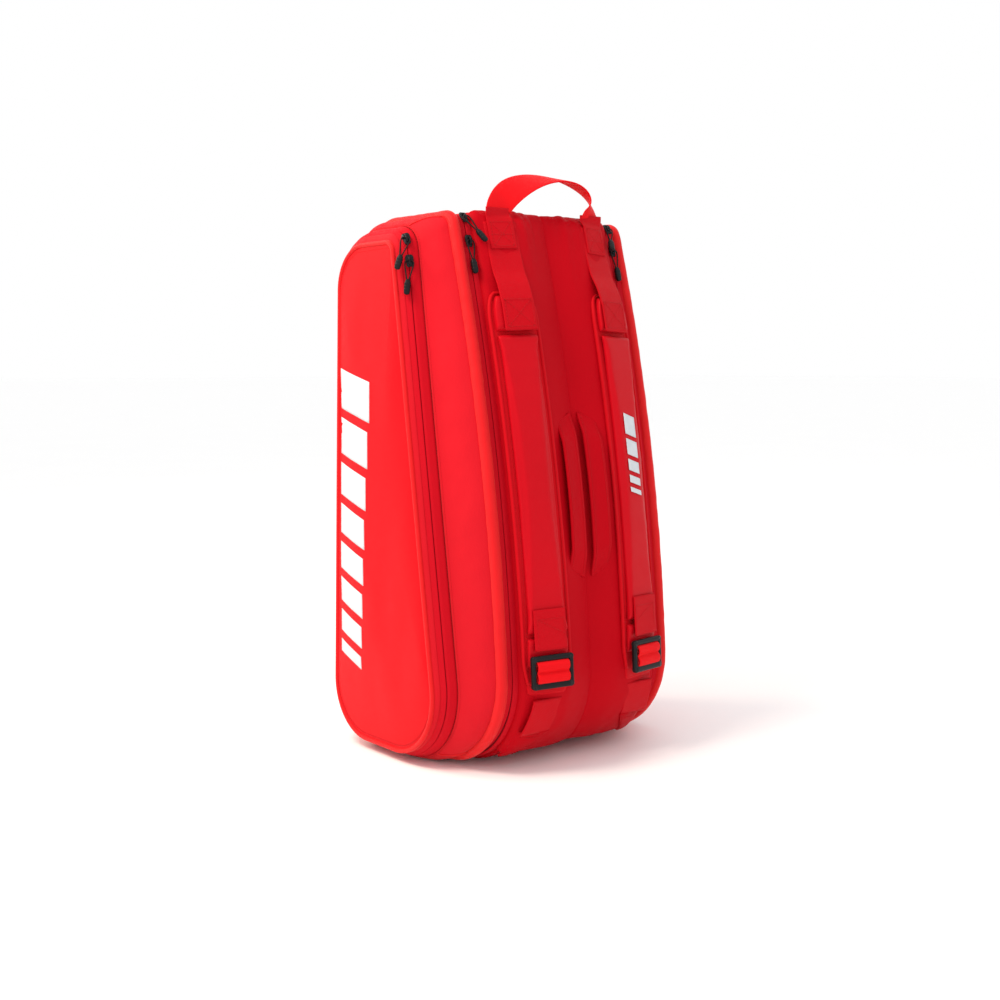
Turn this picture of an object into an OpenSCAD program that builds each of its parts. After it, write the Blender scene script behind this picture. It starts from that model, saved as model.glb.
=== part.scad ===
// Racket tournament bag for padel rackets, standing upright on its base.
// Millimetres, +Z up. The origin is the middle of the flat base; the shoulder straps lie on the -Y
// side and the racket compartments open to -X and +X.

/* [Body] */
// Height from the base to the top panel
body_h = 588; // [575:1:600]
// Distance from the middle plane to each main compartment zip
main_seam_x = 102; // [100:0.5:103]
// Distance from the middle plane to each side pocket zip
pocket_seam_x = 148; // [146:0.5:152]
// Distance from the middle plane to the edge of each side panel
side_panel_x = 160; // [158:0.5:164]
// Front face of the body from the middle plane, at mid height
front_y = 131; // [126:0.5:134]
// Back face of the body behind the middle plane, at mid height
back_y = 106.3; // [104:0.1:110]
// Radius of the long bow of the back, seen from the side
back_bow_r = 2148; // [1900:1:2600]
// Lean of the back at mid height, in degrees
back_lean = 8.62; // [8:0.01:9]
// Lean of the front, in degrees
front_lean = 1.9; // [1.5:0.1:2.5]

/* [Fabric] */
// Thickness of a padded panel
padded_t = 5; // [4:0.1:6]
// Thickness of a single fabric panel
fabric_t = 3; // [2:0.1:3.5]
// Thickness of zip tape
tape_t = 1.6; // [1:0.1:2]
// Height of each padded lobe of the back
lobe_h = 10; // [6:0.5:12]
// Radius of the bound edge beside each main zip
piping_r = 6.3; // [5:0.1:6.4]

/* [Straps] */
// Width of each shoulder pad
pad_w = 58; // [50:1:60]
// Thickness of each shoulder pad
pad_t = 12; // [8:0.5:14]
// Width of the strap and handle webbing
webbing_w = 38; // [30:1:40]
// Thickness of the webbing
webbing_t = 2; // [1.5:0.1:2.5]
// Height of the top of the carrying loop
handle_top_z = 636; // [620:1:650]
// Width of each carry grip
grip_w = 24; // [20:1:25]

/* [Hardware] */
// Width of a zip slider
slider_w = 9; // [8:0.5:10]
// Length of a zip slider
slider_l = 13; // [11:0.5:14]
// Width of a ladder lock buckle
buckle_w = 50; // [46:1:54]
// Height of a ladder lock buckle
buckle_h = 35; // [32:1:38]

/* [Hidden] */

gap = 0.15;                 // half the gap between two bodies at a seam
sewn_gap = 0.2;             // gap between two sewn pieces of one body
mid_z = 302;                // height at which the front and back positions are given
straight_r = 1000000;       // bow radius of an edge that is straight
corner_n = 5;               // segments round each corner
back_n = 10;                // segments along the back

// Outlines in the YZ plane: [front y, back y, lean, bow radius, bottom z, top z,
// front top, front bottom, back top and back bottom radius]
BODY = [front_y, -back_y, back_lean, back_bow_r, 0, body_h, 60, 57, 18, 100];
COVER = [front_y, -back_y, back_lean, back_bow_r, 3, body_h, 60, 57, 18, 100];
POCKET = [front_y - 5, -41.9, 8.25, straight_r, 6, body_h - 18, 55, 62, 25, 80];
PANEL = [front_y - 14, -30.5, 8.25, straight_r, 12, body_h - 32, 48, 60, 12, 70];

seam_d = 4;                 // depth of the main zip below the outline
tape_x = 91;                // inner edge of the main zip tape
piping_x = 114.5;           // centre of the bound edge
gusset_x = 121.1;           // inner edge of the gusset
pocket_tape_x = 138;        // inner edge of the pocket zip tape
pocket_tape_end_x = 154;    // outer edge of the pocket zip tape
pocket_rise = 4;            // how far the pocket zip tape stands out at its inner edge
pocket_fall = 5;            // how far it drops at its outer edge
wall_x = 104.5;             // inner face of the wall between compartment and pocket
wall_t = 2.4;               // thickness of that wall
wall_inset = 9;             // how far its edge lies inside the outline
panel_crown = 5;            // how far the side panel bulges
slider_tilt = 33;           // sideways tilt of the pocket zip

// ---- outlines ----
function bow_centre(o) = [o[1] + o[3] * cos(o[2]), mid_z - o[3] * sin(o[2])];
function arc(c, r, a0, a1, n) =
    [for (i = [0:n]) let (a = a0 + (a1 - a0) * i / n) c + r * [cos(a), sin(a)]];
function front_corner(o, r, z) = [o[0] - (r + (z - mid_z) * sin(front_lean)) / cos(front_lean), z];
function back_corner(o, r, z) =
    let (c = bow_centre(o), h = z - c[1]) [c[0] - sqrt(pow(o[3] - r, 2) - h * h), z];
function top_corner(o) = back_corner(o, o[8], o[5] - o[8]);
function low_corner(o) = back_corner(o, o[9], o[4] + o[9]);
function bearing(p) = let (a = atan2(p[1], p[0])) a < 0 ? a + 360 : a;
function top_bearing(o) = bearing(top_corner(o) - bow_centre(o));
function low_bearing(o) = bearing(low_corner(o) - bow_centre(o));
// The closed outline, d inside the full one, from the front bottom corner over the top to the back
function outline(o, d) = concat(
    arc(front_corner(o, o[7], o[4] + o[7]), o[7] - d, -90, front_lean, corner_n),
    arc(front_corner(o, o[6], o[5] - o[6]), o[6] - d, front_lean, 90, corner_n),
    arc(top_corner(o), o[8] - d, 90, top_bearing(o), corner_n),
    [for (i = [1:back_n - 1])
        let (a = top_bearing(o) + (low_bearing(o) - top_bearing(o)) * i / back_n)
        bow_centre(o) + (o[3] - d) * [cos(a), sin(a)]],
    arc(low_corner(o), o[9] - d, low_bearing(o), 270, corner_n));
function ring(o, d, x) = [for (p = outline(o, d)) [x, p[0], p[1]]];
ring_n = 4 * (corner_n + 1) + back_n - 1;
front_low_i = 3;                                    // where front and bottom panels meet
front_top_i = corner_n + 1 + 2;                     // where front and top panels meet
back_top_i = 2 * (corner_n + 1) + 2;                // where top and back panels meet
back_low_i = ring_n - 3;                            // where back and bottom panels meet

// ---- solids ----
function triangles(quads) = [for (q = quads) each [[q[0], q[1], q[2]], [q[0], q[2], q[3]]]];

// A closed band: rings joined to each other and round to the first
module band(rings) {
    nr = len(rings);
    nc = len(rings[0]);
    polyhedron([for (r = rings) each r], triangles([for (i = [0:nr - 1], j = [0:nc - 1])
        let (k = (i + 1) % nr, l = (j + 1) % nc)
        [i * nc + j, i * nc + l, k * nc + l, k * nc + j]]));
}

// A bent sheet between two grids of points
module slab(outer, inner) {
    nr = len(outer);
    nc = len(outer[0]);
    base = nr * nc;
    a = nr - 1;
    b = nc - 1;
    polyhedron(concat([for (r = outer) each r], [for (r = inner) each r]), triangles(concat(
        [for (i = [0:a - 1], j = [0:b - 1])
            [i * nc + j, i * nc + j + 1, (i + 1) * nc + j + 1, (i + 1) * nc + j]],
        [for (i = [0:a - 1], j = [0:b - 1])
            [base + i * nc + j, base + (i + 1) * nc + j, base + (i + 1) * nc + j + 1,
                base + i * nc + j + 1]],
        [for (j = [0:b - 1]) [j, base + j, base + j + 1, j + 1]],
        [for (j = [0:b - 1])
            [a * nc + j + 1, base + a * nc + j + 1, base + a * nc + j, a * nc + j]],
        [for (i = [0:a - 1]) [(i + 1) * nc, base + (i + 1) * nc, base + i * nc, i * nc]],
        [for (i = [0:a - 1])
            [i * nc + b, base + i * nc + b, base + (i + 1) * nc + b, (i + 1) * nc + b]])));
}

// A bar swept through rings of the same convex section
module bar(rings) {
    nr = len(rings);
    nc = len(rings[0]);
    last = (nr - 1) * nc;
    polyhedron([for (r = rings) each r], concat(
        triangles([for (i = [0:nr - 2], j = [0:nc - 1]) let (l = (j + 1) % nc)
            [i * nc + j, i * nc + l, (i + 1) * nc + l, (i + 1) * nc + j]]),
        [for (j = [1:nc - 2]) [0, j + 1, j]],
        [for (j = [1:nc - 2]) [last, last + j, last + j + 1]]));
}

// A domed cap: rings that shrink to a middle point, outer and inner skin
module cap(outer, inner, outer_mid, inner_mid) {
    nr = len(outer);
    nc = len(outer[0]);
    base = nr * nc;
    mid = 2 * base;
    polyhedron(concat([for (r = outer) each r], [for (r = inner) each r], [outer_mid, inner_mid]), concat(
        triangles([for (i = [0:nr - 2], j = [0:nc - 1]) let (l = (j + 1) % nc)
            [i * nc + l, i * nc + j, (i + 1) * nc + j, (i + 1) * nc + l]]),
        triangles([for (i = [0:nr - 2], j = [0:nc - 1]) let (l = (j + 1) % nc)
            [base + i * nc + j, base + i * nc + l, base + (i + 1) * nc + l, base + (i + 1) * nc + j]]),
        triangles([for (j = [0:nc - 1]) let (l = (j + 1) % nc) [base + j, j, l, base + l]]),
        [for (j = [0:nc - 1]) [base - nc + (j + 1) % nc, base - nc + j, mid]],
        [for (j = [0:nc - 1]) [mid - nc + j, mid - nc + (j + 1) % nc, mid + 1]]));
}

// A flat outline in Y and Z, extruded from x0 to x1
module along_x(points, x0, x1) {
    translate([x0, 0, 0]) rotate([90, 0, 90]) linear_extrude(x1 - x0) polygon(points);
}

// A strip that follows part of an outline, between depths d0 and d1
function strip(o, d0, d1, idx) = let (a = outline(o, d0), b = outline(o, d1)) concat(
    [for (i = idx) a[i]], [for (k = [len(idx) - 1:-1:0]) b[idx[k]]]);
function span(i0, i1) = [for (i = [i0:i1]) i % ring_n];

module sided(side) {
    if (side > 0) children();
    else mirror([1, 0, 0]) children();
}

function rounded(w, h, r, n = 4) = [for (q = [0:3], i = [0:n])
    let (a = 90 * (q + i / n), sx = q == 0 || q == 3 ? 1 : -1, sy = q < 2 ? 1 : -1)
    [sx * (w / 2 - r) + r * cos(a), sy * (h / 2 - r) + r * sin(a)]];

// ---- the back as a place to put things ----
bow = bow_centre(BODY);
function bow_angle(z) = asin((z - bow[1]) / back_bow_r);
function lobe(x) = -3 + lobe_h * sin(180 * x / tape_x);
heel = low_corner(BODY);
heel_z = heel[1] + BODY[9] * sin(low_bearing(BODY));    // where the back turns under to the base
// A point x across, at height z on the back or its lower corner, n out from it
function back_point(x, z, n) = z > heel_z
    ? let (a = bow_angle(z)) [x, bow[0] - (back_bow_r + n) * cos(a), bow[1] + (back_bow_r + n) * sin(a)]
    : let (a = asin((z - heel[1]) / BODY[9]))
        [x, heel[0] - (BODY[9] + n) * cos(a), heel[1] + (BODY[9] + n) * sin(a)];
strap_tilt = 10;            // how far the straps tilt sideways with the lobes
strap_rest = 6.4;           // clearance height of the straps over the lobes
crest_x = 61;               // where the tilted strap comes nearest to a lobe
// A point l outwards and h up on a tilted strap whose middle is at cx
function strap_point(cx, z, l, h) = back_point(cx + l * cos(strap_tilt) + h * sin(strap_tilt), z,
    strap_rest - (cx + l * cos(strap_tilt) - crest_x) * tan(strap_tilt) + h * cos(strap_tilt));
function pad_x(z) = 65.5 + 2.5 * (z - 88) / 412;    // middle of a shoulder pad
module on_strap(z, h) {
    a = bow_angle(z);
    p = strap_point(pad_x(z), z, 0, h);
    n = [0, -cos(a), sin(a)];
    u = [cos(strap_tilt), 0, 0] - sin(strap_tilt) * n;
    w = [sin(strap_tilt), 0, 0] + cos(strap_tilt) * n;
    t = [0, sin(a), cos(a)];
    multmatrix([[u[0], t[0], w[0], p[0]], [u[1], t[1], w[1], p[1]], [u[2], t[2], w[2], p[2]]]) children();
}

// ---- body ----
panel_inner_d = 3 + padded_t;       // depth of the inner face of the back panels
lobe_x = [0.4, 6, 14, 24, 34, 45.5, 58, 70, 80, tape_x - sewn_gap];
// How much of a lobe stands at station i: it fades towards both ends of the panel
function end_fade(i, i0, i1) = min(1, 0.3 + 0.35 * min(i - i0, i1 - i));
module back_panel(side) {
    color("crimson") sided(side) slab(
        [for (i = span(back_top_i, back_low_i)) [for (x = lobe_x)
            let (p = outline(BODY, -lobe(x) * end_fade(i, back_top_i, back_low_i))[i]) [x, p[0], p[1]]]],
        [for (i = span(back_top_i, back_low_i)) [for (x = lobe_x)
            let (p = outline(BODY, panel_inner_d)[i]) [x, p[0], p[1]]]]);
}
module top_panel() {
    color("tomato") along_x(strip(BODY, 0, seam_d, span(front_top_i, back_top_i)),
        -tape_x + sewn_gap, tape_x - sewn_gap);
}
module bottom_panel() {
    color("firebrick") along_x(strip(BODY, 0, seam_d, span(back_low_i, ring_n + front_low_i)),
        -tape_x + sewn_gap, tape_x - sewn_gap);
}
module front_panel() {
    x = main_seam_x - gap;
    color("red") along_x(strip(BODY, 0, seam_d, span(front_low_i, front_top_i)), -x, x);
}
module centre_divider() {
    color("dimgray") along_x(outline(BODY, panel_inner_d + 0.6), -fabric_t / 2, fabric_t / 2);
}
board = [168, 94, 2.5];
board_y = -24;              // back edge of the base board
module base_board() {
    color("black") translate([-board[0] / 2, board_y, seam_d + 2 * gap]) cube(board);
}
zip_span = span(front_top_i, ring_n + front_low_i);
module main_zip_body_tape(side) {
    color("crimson") sided(side)
        along_x(strip(BODY, seam_d, seam_d + tape_t, zip_span), tape_x, main_seam_x - gap);
}

// ---- cover of a main compartment ----
module main_zip_cover_tape(side) {
    color("crimson") sided(side)
        along_x(strip(COVER, seam_d, seam_d + tape_t, zip_span), main_seam_x + gap, piping_x - piping_r);
}
module cover_piping(side) {
    color("orangered") sided(side) band([for (k = [7:-1:0])
        ring(COVER, piping_r * (1 - cos(45 * k)), piping_x + piping_r * sin(45 * k))]);
}
module inner_wall(side) {
    color("dimgray") sided(side)
        along_x(outline(COVER, wall_inset), wall_x, wall_x + wall_t);
}
module gusset(side) {
    end_x = pocket_tape_x - sewn_gap;
    d = piping_r + 0.7;
    color("indianred") sided(side) band([
        ring(COVER, d, gusset_x), ring(COVER, d + fabric_t, gusset_x),
        ring(POCKET, fabric_t - pocket_rise, end_x), ring(POCKET, -pocket_rise, end_x)]);
}
module pocket_zip_cover_tape(side) {
    end_x = pocket_seam_x - gap;
    color("red") sided(side) band([
        ring(POCKET, -pocket_rise, pocket_tape_x), ring(POCKET, tape_t - pocket_rise, pocket_tape_x),
        ring(POCKET, tape_t, end_x), ring(POCKET, 0, end_x)]);
}

// ---- side pocket ----
module pocket_zip_panel_tape(side) {
    start_x = pocket_seam_x + gap;
    color("red") sided(side) band([
        ring(POCKET, 0, start_x), ring(POCKET, tape_t, start_x),
        ring(POCKET, pocket_fall + tape_t, pocket_tape_end_x),
        ring(POCKET, pocket_fall, pocket_tape_end_x)]);
}
module pocket_gusset(side) {
    start_x = pocket_tape_end_x + sewn_gap;
    end_x = side_panel_x - fabric_t - sewn_gap;
    color("coral") sided(side) band([
        ring(POCKET, pocket_fall, start_x), ring(POCKET, pocket_fall + fabric_t, start_x),
        ring(PANEL, fabric_t, end_x), ring(PANEL, 0, end_x)]);
}
panel_mid = [18, 284];      // middle of the side panel in Y and Z
panel_shrink = [1, 0.93, 0.8, 0.55, 0.28];
function panel_ring(s, lift) = let (x = side_panel_x + panel_crown * (1 - pow(s, 4)) + lift)
    [for (p = outline(PANEL, 0)) [x, panel_mid[0] + s * (p[0] - panel_mid[0]),
        panel_mid[1] + s * (p[1] - panel_mid[1])]];
module side_panel(side) {
    x = side_panel_x + panel_crown;
    color("orangered") sided(side) cap([for (s = panel_shrink) panel_ring(s, 0)],
        [for (s = panel_shrink) panel_ring(s, -fabric_t)],
        [x, panel_mid[0], panel_mid[1]], [x - fabric_t, panel_mid[0], panel_mid[1]]);
}

// ---- zip sliders and pulls ----
main_slider_a = 140;        // bearing of the upper main slider on the top corner
main_slider_z = 556;        // height of the lower main slider
pocket_slider_a = 150;
pocket_slider_z = 535;
bail_h = 4.25;              // height of the pull's cord over the zip
// Moves children to a zip: turned about centre c in YZ at radius r and bearing a, tilted sideways
module on_zip(x, c, r, a, tilt) {
    n = [0, cos(a), sin(a)];
    w = [sin(tilt), 0, 0] + cos(tilt) * n;
    u = [cos(tilt), 0, 0] - sin(tilt) * n;
    t = [0, sin(a), -cos(a)];
    p = [x, c[0] + r * cos(a), c[1] + r * sin(a)];
    multmatrix([[u[0], t[0], w[0], p[0]], [u[1], t[1], w[1], p[1]], [u[2], t[2], w[2], p[2]]]) children();
}
function lower_bearing(o, z) = 180 - asin((z - bow_centre(o)[1]) / o[3]);
module at_main_upper(side) {
    sided(side) on_zip(main_seam_x, top_corner(COVER), COVER[8] - seam_d, main_slider_a, 0) children();
}
module at_main_lower(side) {
    sided(side) on_zip(main_seam_x, bow_centre(COVER), COVER[3] - seam_d,
        lower_bearing(COVER, main_slider_z), 0) children();
}
module at_pocket_upper(side) {
    sided(side) on_zip(pocket_seam_x, top_corner(POCKET), POCKET[8], pocket_slider_a,
        slider_tilt) children();
}
module at_pocket_lower(side) {
    sided(side) on_zip(pocket_seam_x, bow_centre(POCKET), POCKET[3],
        lower_bearing(POCKET, pocket_slider_z), slider_tilt) children();
}
plate_z = 1.1;              // underside of a slider over the zip
plate_t = 1.9;
bridge_w = 2;
bridge_l = 8.8;             // length of the bridge that holds the pull
bridge_top_z = 6.6;
bridge_t = 1;               // thickness of its legs
bridge_top_t = 1.1;
chamfer = 1;
module slider() {
    foot = plate_z + plate_t - 0.1;
    y = bridge_l / 2;
    in_y = y - bridge_t;
    in_z = bridge_top_z - bridge_top_t;
    color("black") union() {
        translate([0, 0, plate_z]) linear_extrude(plate_t) polygon(rounded(slider_w, slider_l, 3));
        translate([-bridge_w / 2, 0, 0]) rotate([90, 0, 90]) linear_extrude(bridge_w) polygon([
            [-y, foot], [-y, bridge_top_z - chamfer], [-y + chamfer, bridge_top_z],
            [y - chamfer, bridge_top_z], [y, bridge_top_z - chamfer], [y, foot],
            [in_y, foot], [in_y, in_z - 0.4], [in_y - 0.4, in_z],
            [0.4 - in_y, in_z], [-in_y, in_z - 0.4], [-in_y, foot]]);
    }
}
cord_t = 1.5;
bend_y = -8;                // where a pull may bend
pull_end_y = -36;           // lower end of the moulded grip
pull_grip_y = -20;          // top of the moulded grip
pull_grip_w = 7;
pull_grip_t = 5;
loop_half = 5.4;            // half the width of the cord loop at the slider
neck_half = 2.4;            // half its width at the grip
module pull_flat(y0, y1) {
    in_half = loop_half - cord_t;
    translate([0, 0, -cord_t / 2]) linear_extrude(cord_t) intersection() {
        difference() {
            polygon([[-loop_half, cord_t / 2], [loop_half, cord_t / 2], [loop_half, -cord_t],
                [neck_half, pull_grip_y - 1], [-neck_half, pull_grip_y - 1], [-loop_half, -cord_t]]);
            polygon([[-in_half, -cord_t / 2], [in_half, -cord_t / 2], [in_half, -cord_t - 0.2],
                [neck_half - cord_t, pull_grip_y - 2], [cord_t - neck_half, pull_grip_y - 2],
                [-in_half, -cord_t - 0.2]]);
        }
        translate([-2 * loop_half, y1]) square([4 * loop_half, y0 - y1]);
    }
}
// A cord loop through the bail and its moulded grip, turned sideways by yaw and bent inwards by bend
module pull(yaw, bend) {
    overlap = bend > 0 ? 0.3 : 0;
    color("black") translate([0, 0, bail_h]) rotate([0, 0, yaw]) union() {
        pull_flat(cord_t, bend_y);
        translate([0, bend_y, 0]) rotate([bend, 0, 0]) translate([0, -bend_y, 0]) union() {
            pull_flat(bend_y + overlap, pull_grip_y - 1);
            translate([0, (pull_grip_y + pull_end_y) / 2, -pull_grip_t / 2]) linear_extrude(pull_grip_t)
                polygon(rounded(pull_grip_w, pull_grip_y - pull_end_y, 2.4));
        }
    }
}

// ---- shoulder straps ----
pad_section = [[-1, 3], [-1, 9], [-0.86, 12], [0.86, 12], [1, 9], [1, 3], [0.86, 0], [-0.86, 0]];
// Pad stations: [height, share of the width, share of the thickness]
pad_stations = [[501, 0.72, 0.45], [494, 0.9, 0.7], [482, 1, 1], [440, 1, 1], [400, 1, 1], [360, 1, 1],
    [320, 1, 1], [280, 1, 1], [240, 1, 1], [200, 1, 1], [160, 1, 1], [125, 0.98, 0.85], [104, 0.94, 0.7],
    [88, 0.8, 0.5]];
module shoulder_pad(side) {
    color("crimson") sided(side) bar([for (s = pad_stations) [for (p = pad_section)
        strap_point(pad_x(s[0]), s[0], p[0] * s[1] * pad_w / 2, p[1] * s[2] * pad_t / 12)]]);
}
// A flat ribbon through stations [height, height over the strap's rest line]
module ribbon(stations, cx, w, t) {
    bar([for (s = stations) [
        strap_point(cx, s[0], -w / 2, s[1]), strap_point(cx, s[0], -w / 2, s[1] + t),
        strap_point(cx, s[0], w / 2, s[1] + t), strap_point(cx, s[0], w / 2, s[1])]]);
}
lay = pad_t + 0.4;          // webbing that lies on a pad
webbing_x = 65;             // middle of the webbing above a pad
module upper_webbing(side) {
    color("red") sided(side) ribbon([[572, 0.4], [545, 0.4], [520, 2.5], [507, 9], [496, lay - 1.4],
        [488, lay], [459, lay]], webbing_x, webbing_w, webbing_t);
}
module lower_tab(side) {
    color("red") sided(side) ribbon([[176, lay], [150, lay], [134, lay + 0.6]], pad_x(140), webbing_w,
        webbing_t);
}
buckle_z = 112;             // middle of a buckle
buckle_lift = 11.4;         // its height over the rest line
buckle_t = 5;
window_y = 7.6;             // middle of each window from the middle bar
window_h = 9.6;
frame_w = 4.5;              // width of the frame beside the windows
module buckle(side) {
    color("black") sided(side) on_strap(buckle_z, buckle_lift) linear_extrude(buckle_t) difference() {
        polygon(rounded(buckle_w, buckle_h, 6));
        for (y = [-window_y, window_y]) translate([0, y])
            polygon(rounded(buckle_w - 2 * frame_w, window_h, 1.5, 2));
    }
}
wrap_half = 6.6;            // half the length of the webbing over the middle bar
wrap_top = 7.4;             // its upper face over the buckle's underside
wrap_end = -1;              // its lower ends
wrap_bend = 1.2;
module buckle_webbing(side) {
    y = wrap_half;
    in_y = wrap_half - webbing_t;
    in_z = wrap_top - webbing_t;
    color("red") sided(side) on_strap(buckle_z, buckle_lift) translate([-webbing_w / 2, 0, 0])
        rotate([90, 0, 90]) linear_extrude(webbing_w) polygon([[-y, wrap_end], [-y, wrap_top - wrap_bend],
            [wrap_bend - y, wrap_top], [y - wrap_bend, wrap_top], [y, wrap_top - wrap_bend],
            [y, wrap_end], [in_y, wrap_end], [in_y, in_z], [-in_y, in_z], [-in_y, wrap_end]]);
}
// Adjuster stations: [height, middle across, height over the back]
adjuster_stations = [[84, 66, 9], [74, 67, 8], [62, 69, 7.6], [48, 72, 7.4]];
// Webbing on the back through rows [height, inner edge, outer edge, height over the back]
module back_webbing(rows) {
    color("red") bar([for (r = rows) [
        back_point(r[1], r[0], r[3]), back_point(r[1], r[0], r[3] + webbing_t),
        back_point(r[2], r[0], r[3] + webbing_t), back_point(r[2], r[0], r[3])]]);
}
module adjuster_webbing(side) {
    sided(side) back_webbing([for (s = adjuster_stations)
        [s[0], s[1] - webbing_w / 2, s[1] + webbing_w / 2, s[2]]]);
}
wing_rows = [[47, 53, 91, 7.4], [36, 62, 94, 6.4], [24, 74, 97, 5], [14, 84, 99, 3.5]];
module anchor_wing(side) {
    sided(side) back_webbing(wing_rows);
}

// ---- handles ----
handle_foot_x = 66;         // middle of each foot of the top handle
handle_foot_z = 589;
handle_y = -52;             // where its feet stand
handle_lean = 8;            // how far its apex stands in front of its feet
handle_n = 16;              // stations along it
module top_handle() {
    reach = handle_top_z - handle_foot_z - webbing_t / 2;
    color("red") bar([for (i = [0:handle_n])
        let (a = 180 * i / handle_n, turn = 90 * sin(a),
            p = [-handle_foot_x * cos(a), handle_y + handle_lean * sin(a),
                handle_foot_z + reach * sin(a)],
            t = [handle_foot_x * sin(a), 0, reach * cos(a)] / norm([handle_foot_x * sin(a), reach * cos(a)]),
            n = [-t[2], 0, t[0]],
            w = cos(turn) * n + sin(turn) * [0, 1, 0],
            v = cross(t, w),
            h = webbing_w / 2)
        [p - h * w - webbing_t * v / 2, p - h * w + webbing_t * v / 2,
            p + h * w + webbing_t * v / 2, p + h * w - webbing_t * v / 2]]);
}
grip_x = 16.5;              // middle of each carry grip
grip_rest = 4.4;            // height of its ends over the outline
grip_bow = 12;              // how far its middle stands out
grip_t = 4;
// Grip stations: [height, share of the width, share of the bow]
grip_stations = [[377, 0.25, 0], [364, 1, 0.08], [345, 1, 0.45], [320, 1, 0.85], [289, 1, 1],
    [257, 1, 0.85], [232, 1, 0.45], [213, 1, 0.08], [200, 0.25, 0]];
module carry_grip(side) {
    color("firebrick") sided(side) bar([for (s = grip_stations)
        let (n = grip_rest + grip_bow * s[2], h = s[1] * grip_w / 2) [
        back_point(grip_x - h, s[0], n), back_point(grip_x - h, s[0], n + grip_t),
        back_point(grip_x + h, s[0], n + grip_t), back_point(grip_x + h, s[0], n)]]);
}

back_panel(-1);  // back_panel_left
back_panel(1);  // back_panel_right
top_panel();
bottom_panel();
front_panel();
centre_divider();
base_board();
top_handle();
main_zip_body_tape(-1);  // left_main_zip_body_tape
anchor_wing(-1);  // left_anchor_wing
adjuster_webbing(-1);  // left_adjuster_webbing
carry_grip(-1);  // left_carry_grip
cover_piping(-1);  // left_cover_piping
gusset(-1);  // left_gusset
inner_wall(-1);  // left_inner_wall
main_zip_cover_tape(-1);  // left_main_zip_cover_tape
pocket_zip_cover_tape(-1);  // left_pocket_zip_cover_tape
pocket_zip_panel_tape(-1);  // left_pocket_zip_panel_tape
pocket_gusset(-1);  // left_pocket_gusset
side_panel(-1);  // left_side_panel
shoulder_pad(-1);  // left_shoulder_pad
upper_webbing(-1);  // left_upper_webbing
lower_tab(-1);  // left_lower_tab
buckle(-1);  // left_buckle
buckle_webbing(-1);  // left_buckle_webbing
at_main_upper(-1) slider();  // left_main_slider_upper
at_main_lower(-1) slider();  // left_main_slider_lower
at_pocket_upper(-1) slider();  // left_pocket_slider_upper
at_pocket_lower(-1) slider();  // left_pocket_slider_lower
at_main_upper(-1) pull(-21, 3);  // left_main_pull_upper
at_main_lower(-1) pull(0, 0);  // left_main_pull_lower
at_pocket_upper(-1) pull(34, 14);  // left_pocket_pull_upper
at_pocket_lower(-1) pull(10, 0);  // left_pocket_pull_lower
main_zip_body_tape(1);  // right_main_zip_body_tape
anchor_wing(1);  // right_anchor_wing
adjuster_webbing(1);  // right_adjuster_webbing
carry_grip(1);  // right_carry_grip
cover_piping(1);  // right_cover_piping
gusset(1);  // right_gusset
inner_wall(1);  // right_inner_wall
main_zip_cover_tape(1);  // right_main_zip_cover_tape
pocket_zip_cover_tape(1);  // right_pocket_zip_cover_tape
pocket_zip_panel_tape(1);  // right_pocket_zip_panel_tape
pocket_gusset(1);  // right_pocket_gusset
side_panel(1);  // right_side_panel
shoulder_pad(1);  // right_shoulder_pad
upper_webbing(1);  // right_upper_webbing
lower_tab(1);  // right_lower_tab
buckle(1);  // right_buckle
buckle_webbing(1);  // right_buckle_webbing
at_main_upper(1) slider();  // right_main_slider_upper
at_main_lower(1) slider();  // right_main_slider_lower
at_pocket_upper(1) slider();  // right_pocket_slider_upper
at_pocket_lower(1) slider();  // right_pocket_slider_lower
at_main_upper(1) pull(-21, 3);  // right_main_pull_upper
at_main_lower(1) pull(0, 0);  // right_main_pull_lower
at_pocket_upper(1) pull(34, 14);  // right_pocket_pull_upper
at_pocket_lower(1) pull(10, 0);  // right_pocket_pull_lower
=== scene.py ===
"""Looks of the racket tournament bag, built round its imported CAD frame.

Lengths in the tables below are millimetres, as in the CAD source; MM turns them into metres when a
mesh is made. Every sewn panel is a grid of points over the bag's outlines in the YZ plane.
"""

import math

import bmesh
import bpy
import numpy as np
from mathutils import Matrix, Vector, noise


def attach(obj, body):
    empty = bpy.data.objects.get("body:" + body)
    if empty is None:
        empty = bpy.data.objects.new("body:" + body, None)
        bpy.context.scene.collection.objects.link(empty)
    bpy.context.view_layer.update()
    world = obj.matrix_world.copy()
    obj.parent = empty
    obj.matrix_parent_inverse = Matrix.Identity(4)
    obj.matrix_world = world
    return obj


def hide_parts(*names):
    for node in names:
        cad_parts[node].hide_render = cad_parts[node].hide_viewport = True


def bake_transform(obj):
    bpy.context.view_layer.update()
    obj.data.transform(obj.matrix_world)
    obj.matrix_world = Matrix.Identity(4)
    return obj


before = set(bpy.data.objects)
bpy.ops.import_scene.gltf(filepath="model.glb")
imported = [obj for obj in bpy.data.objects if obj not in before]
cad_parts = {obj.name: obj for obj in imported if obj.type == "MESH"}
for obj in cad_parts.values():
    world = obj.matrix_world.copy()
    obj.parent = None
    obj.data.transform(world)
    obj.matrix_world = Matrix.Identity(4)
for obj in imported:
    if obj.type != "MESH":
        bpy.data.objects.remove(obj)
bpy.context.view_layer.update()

MM = 0.001
SIDES = {"left": -1, "right": 1}

# ---------------------------------------------------------------- outlines in the YZ plane
MID_Z = 302
FRONT_LEAN = 1.9
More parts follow.
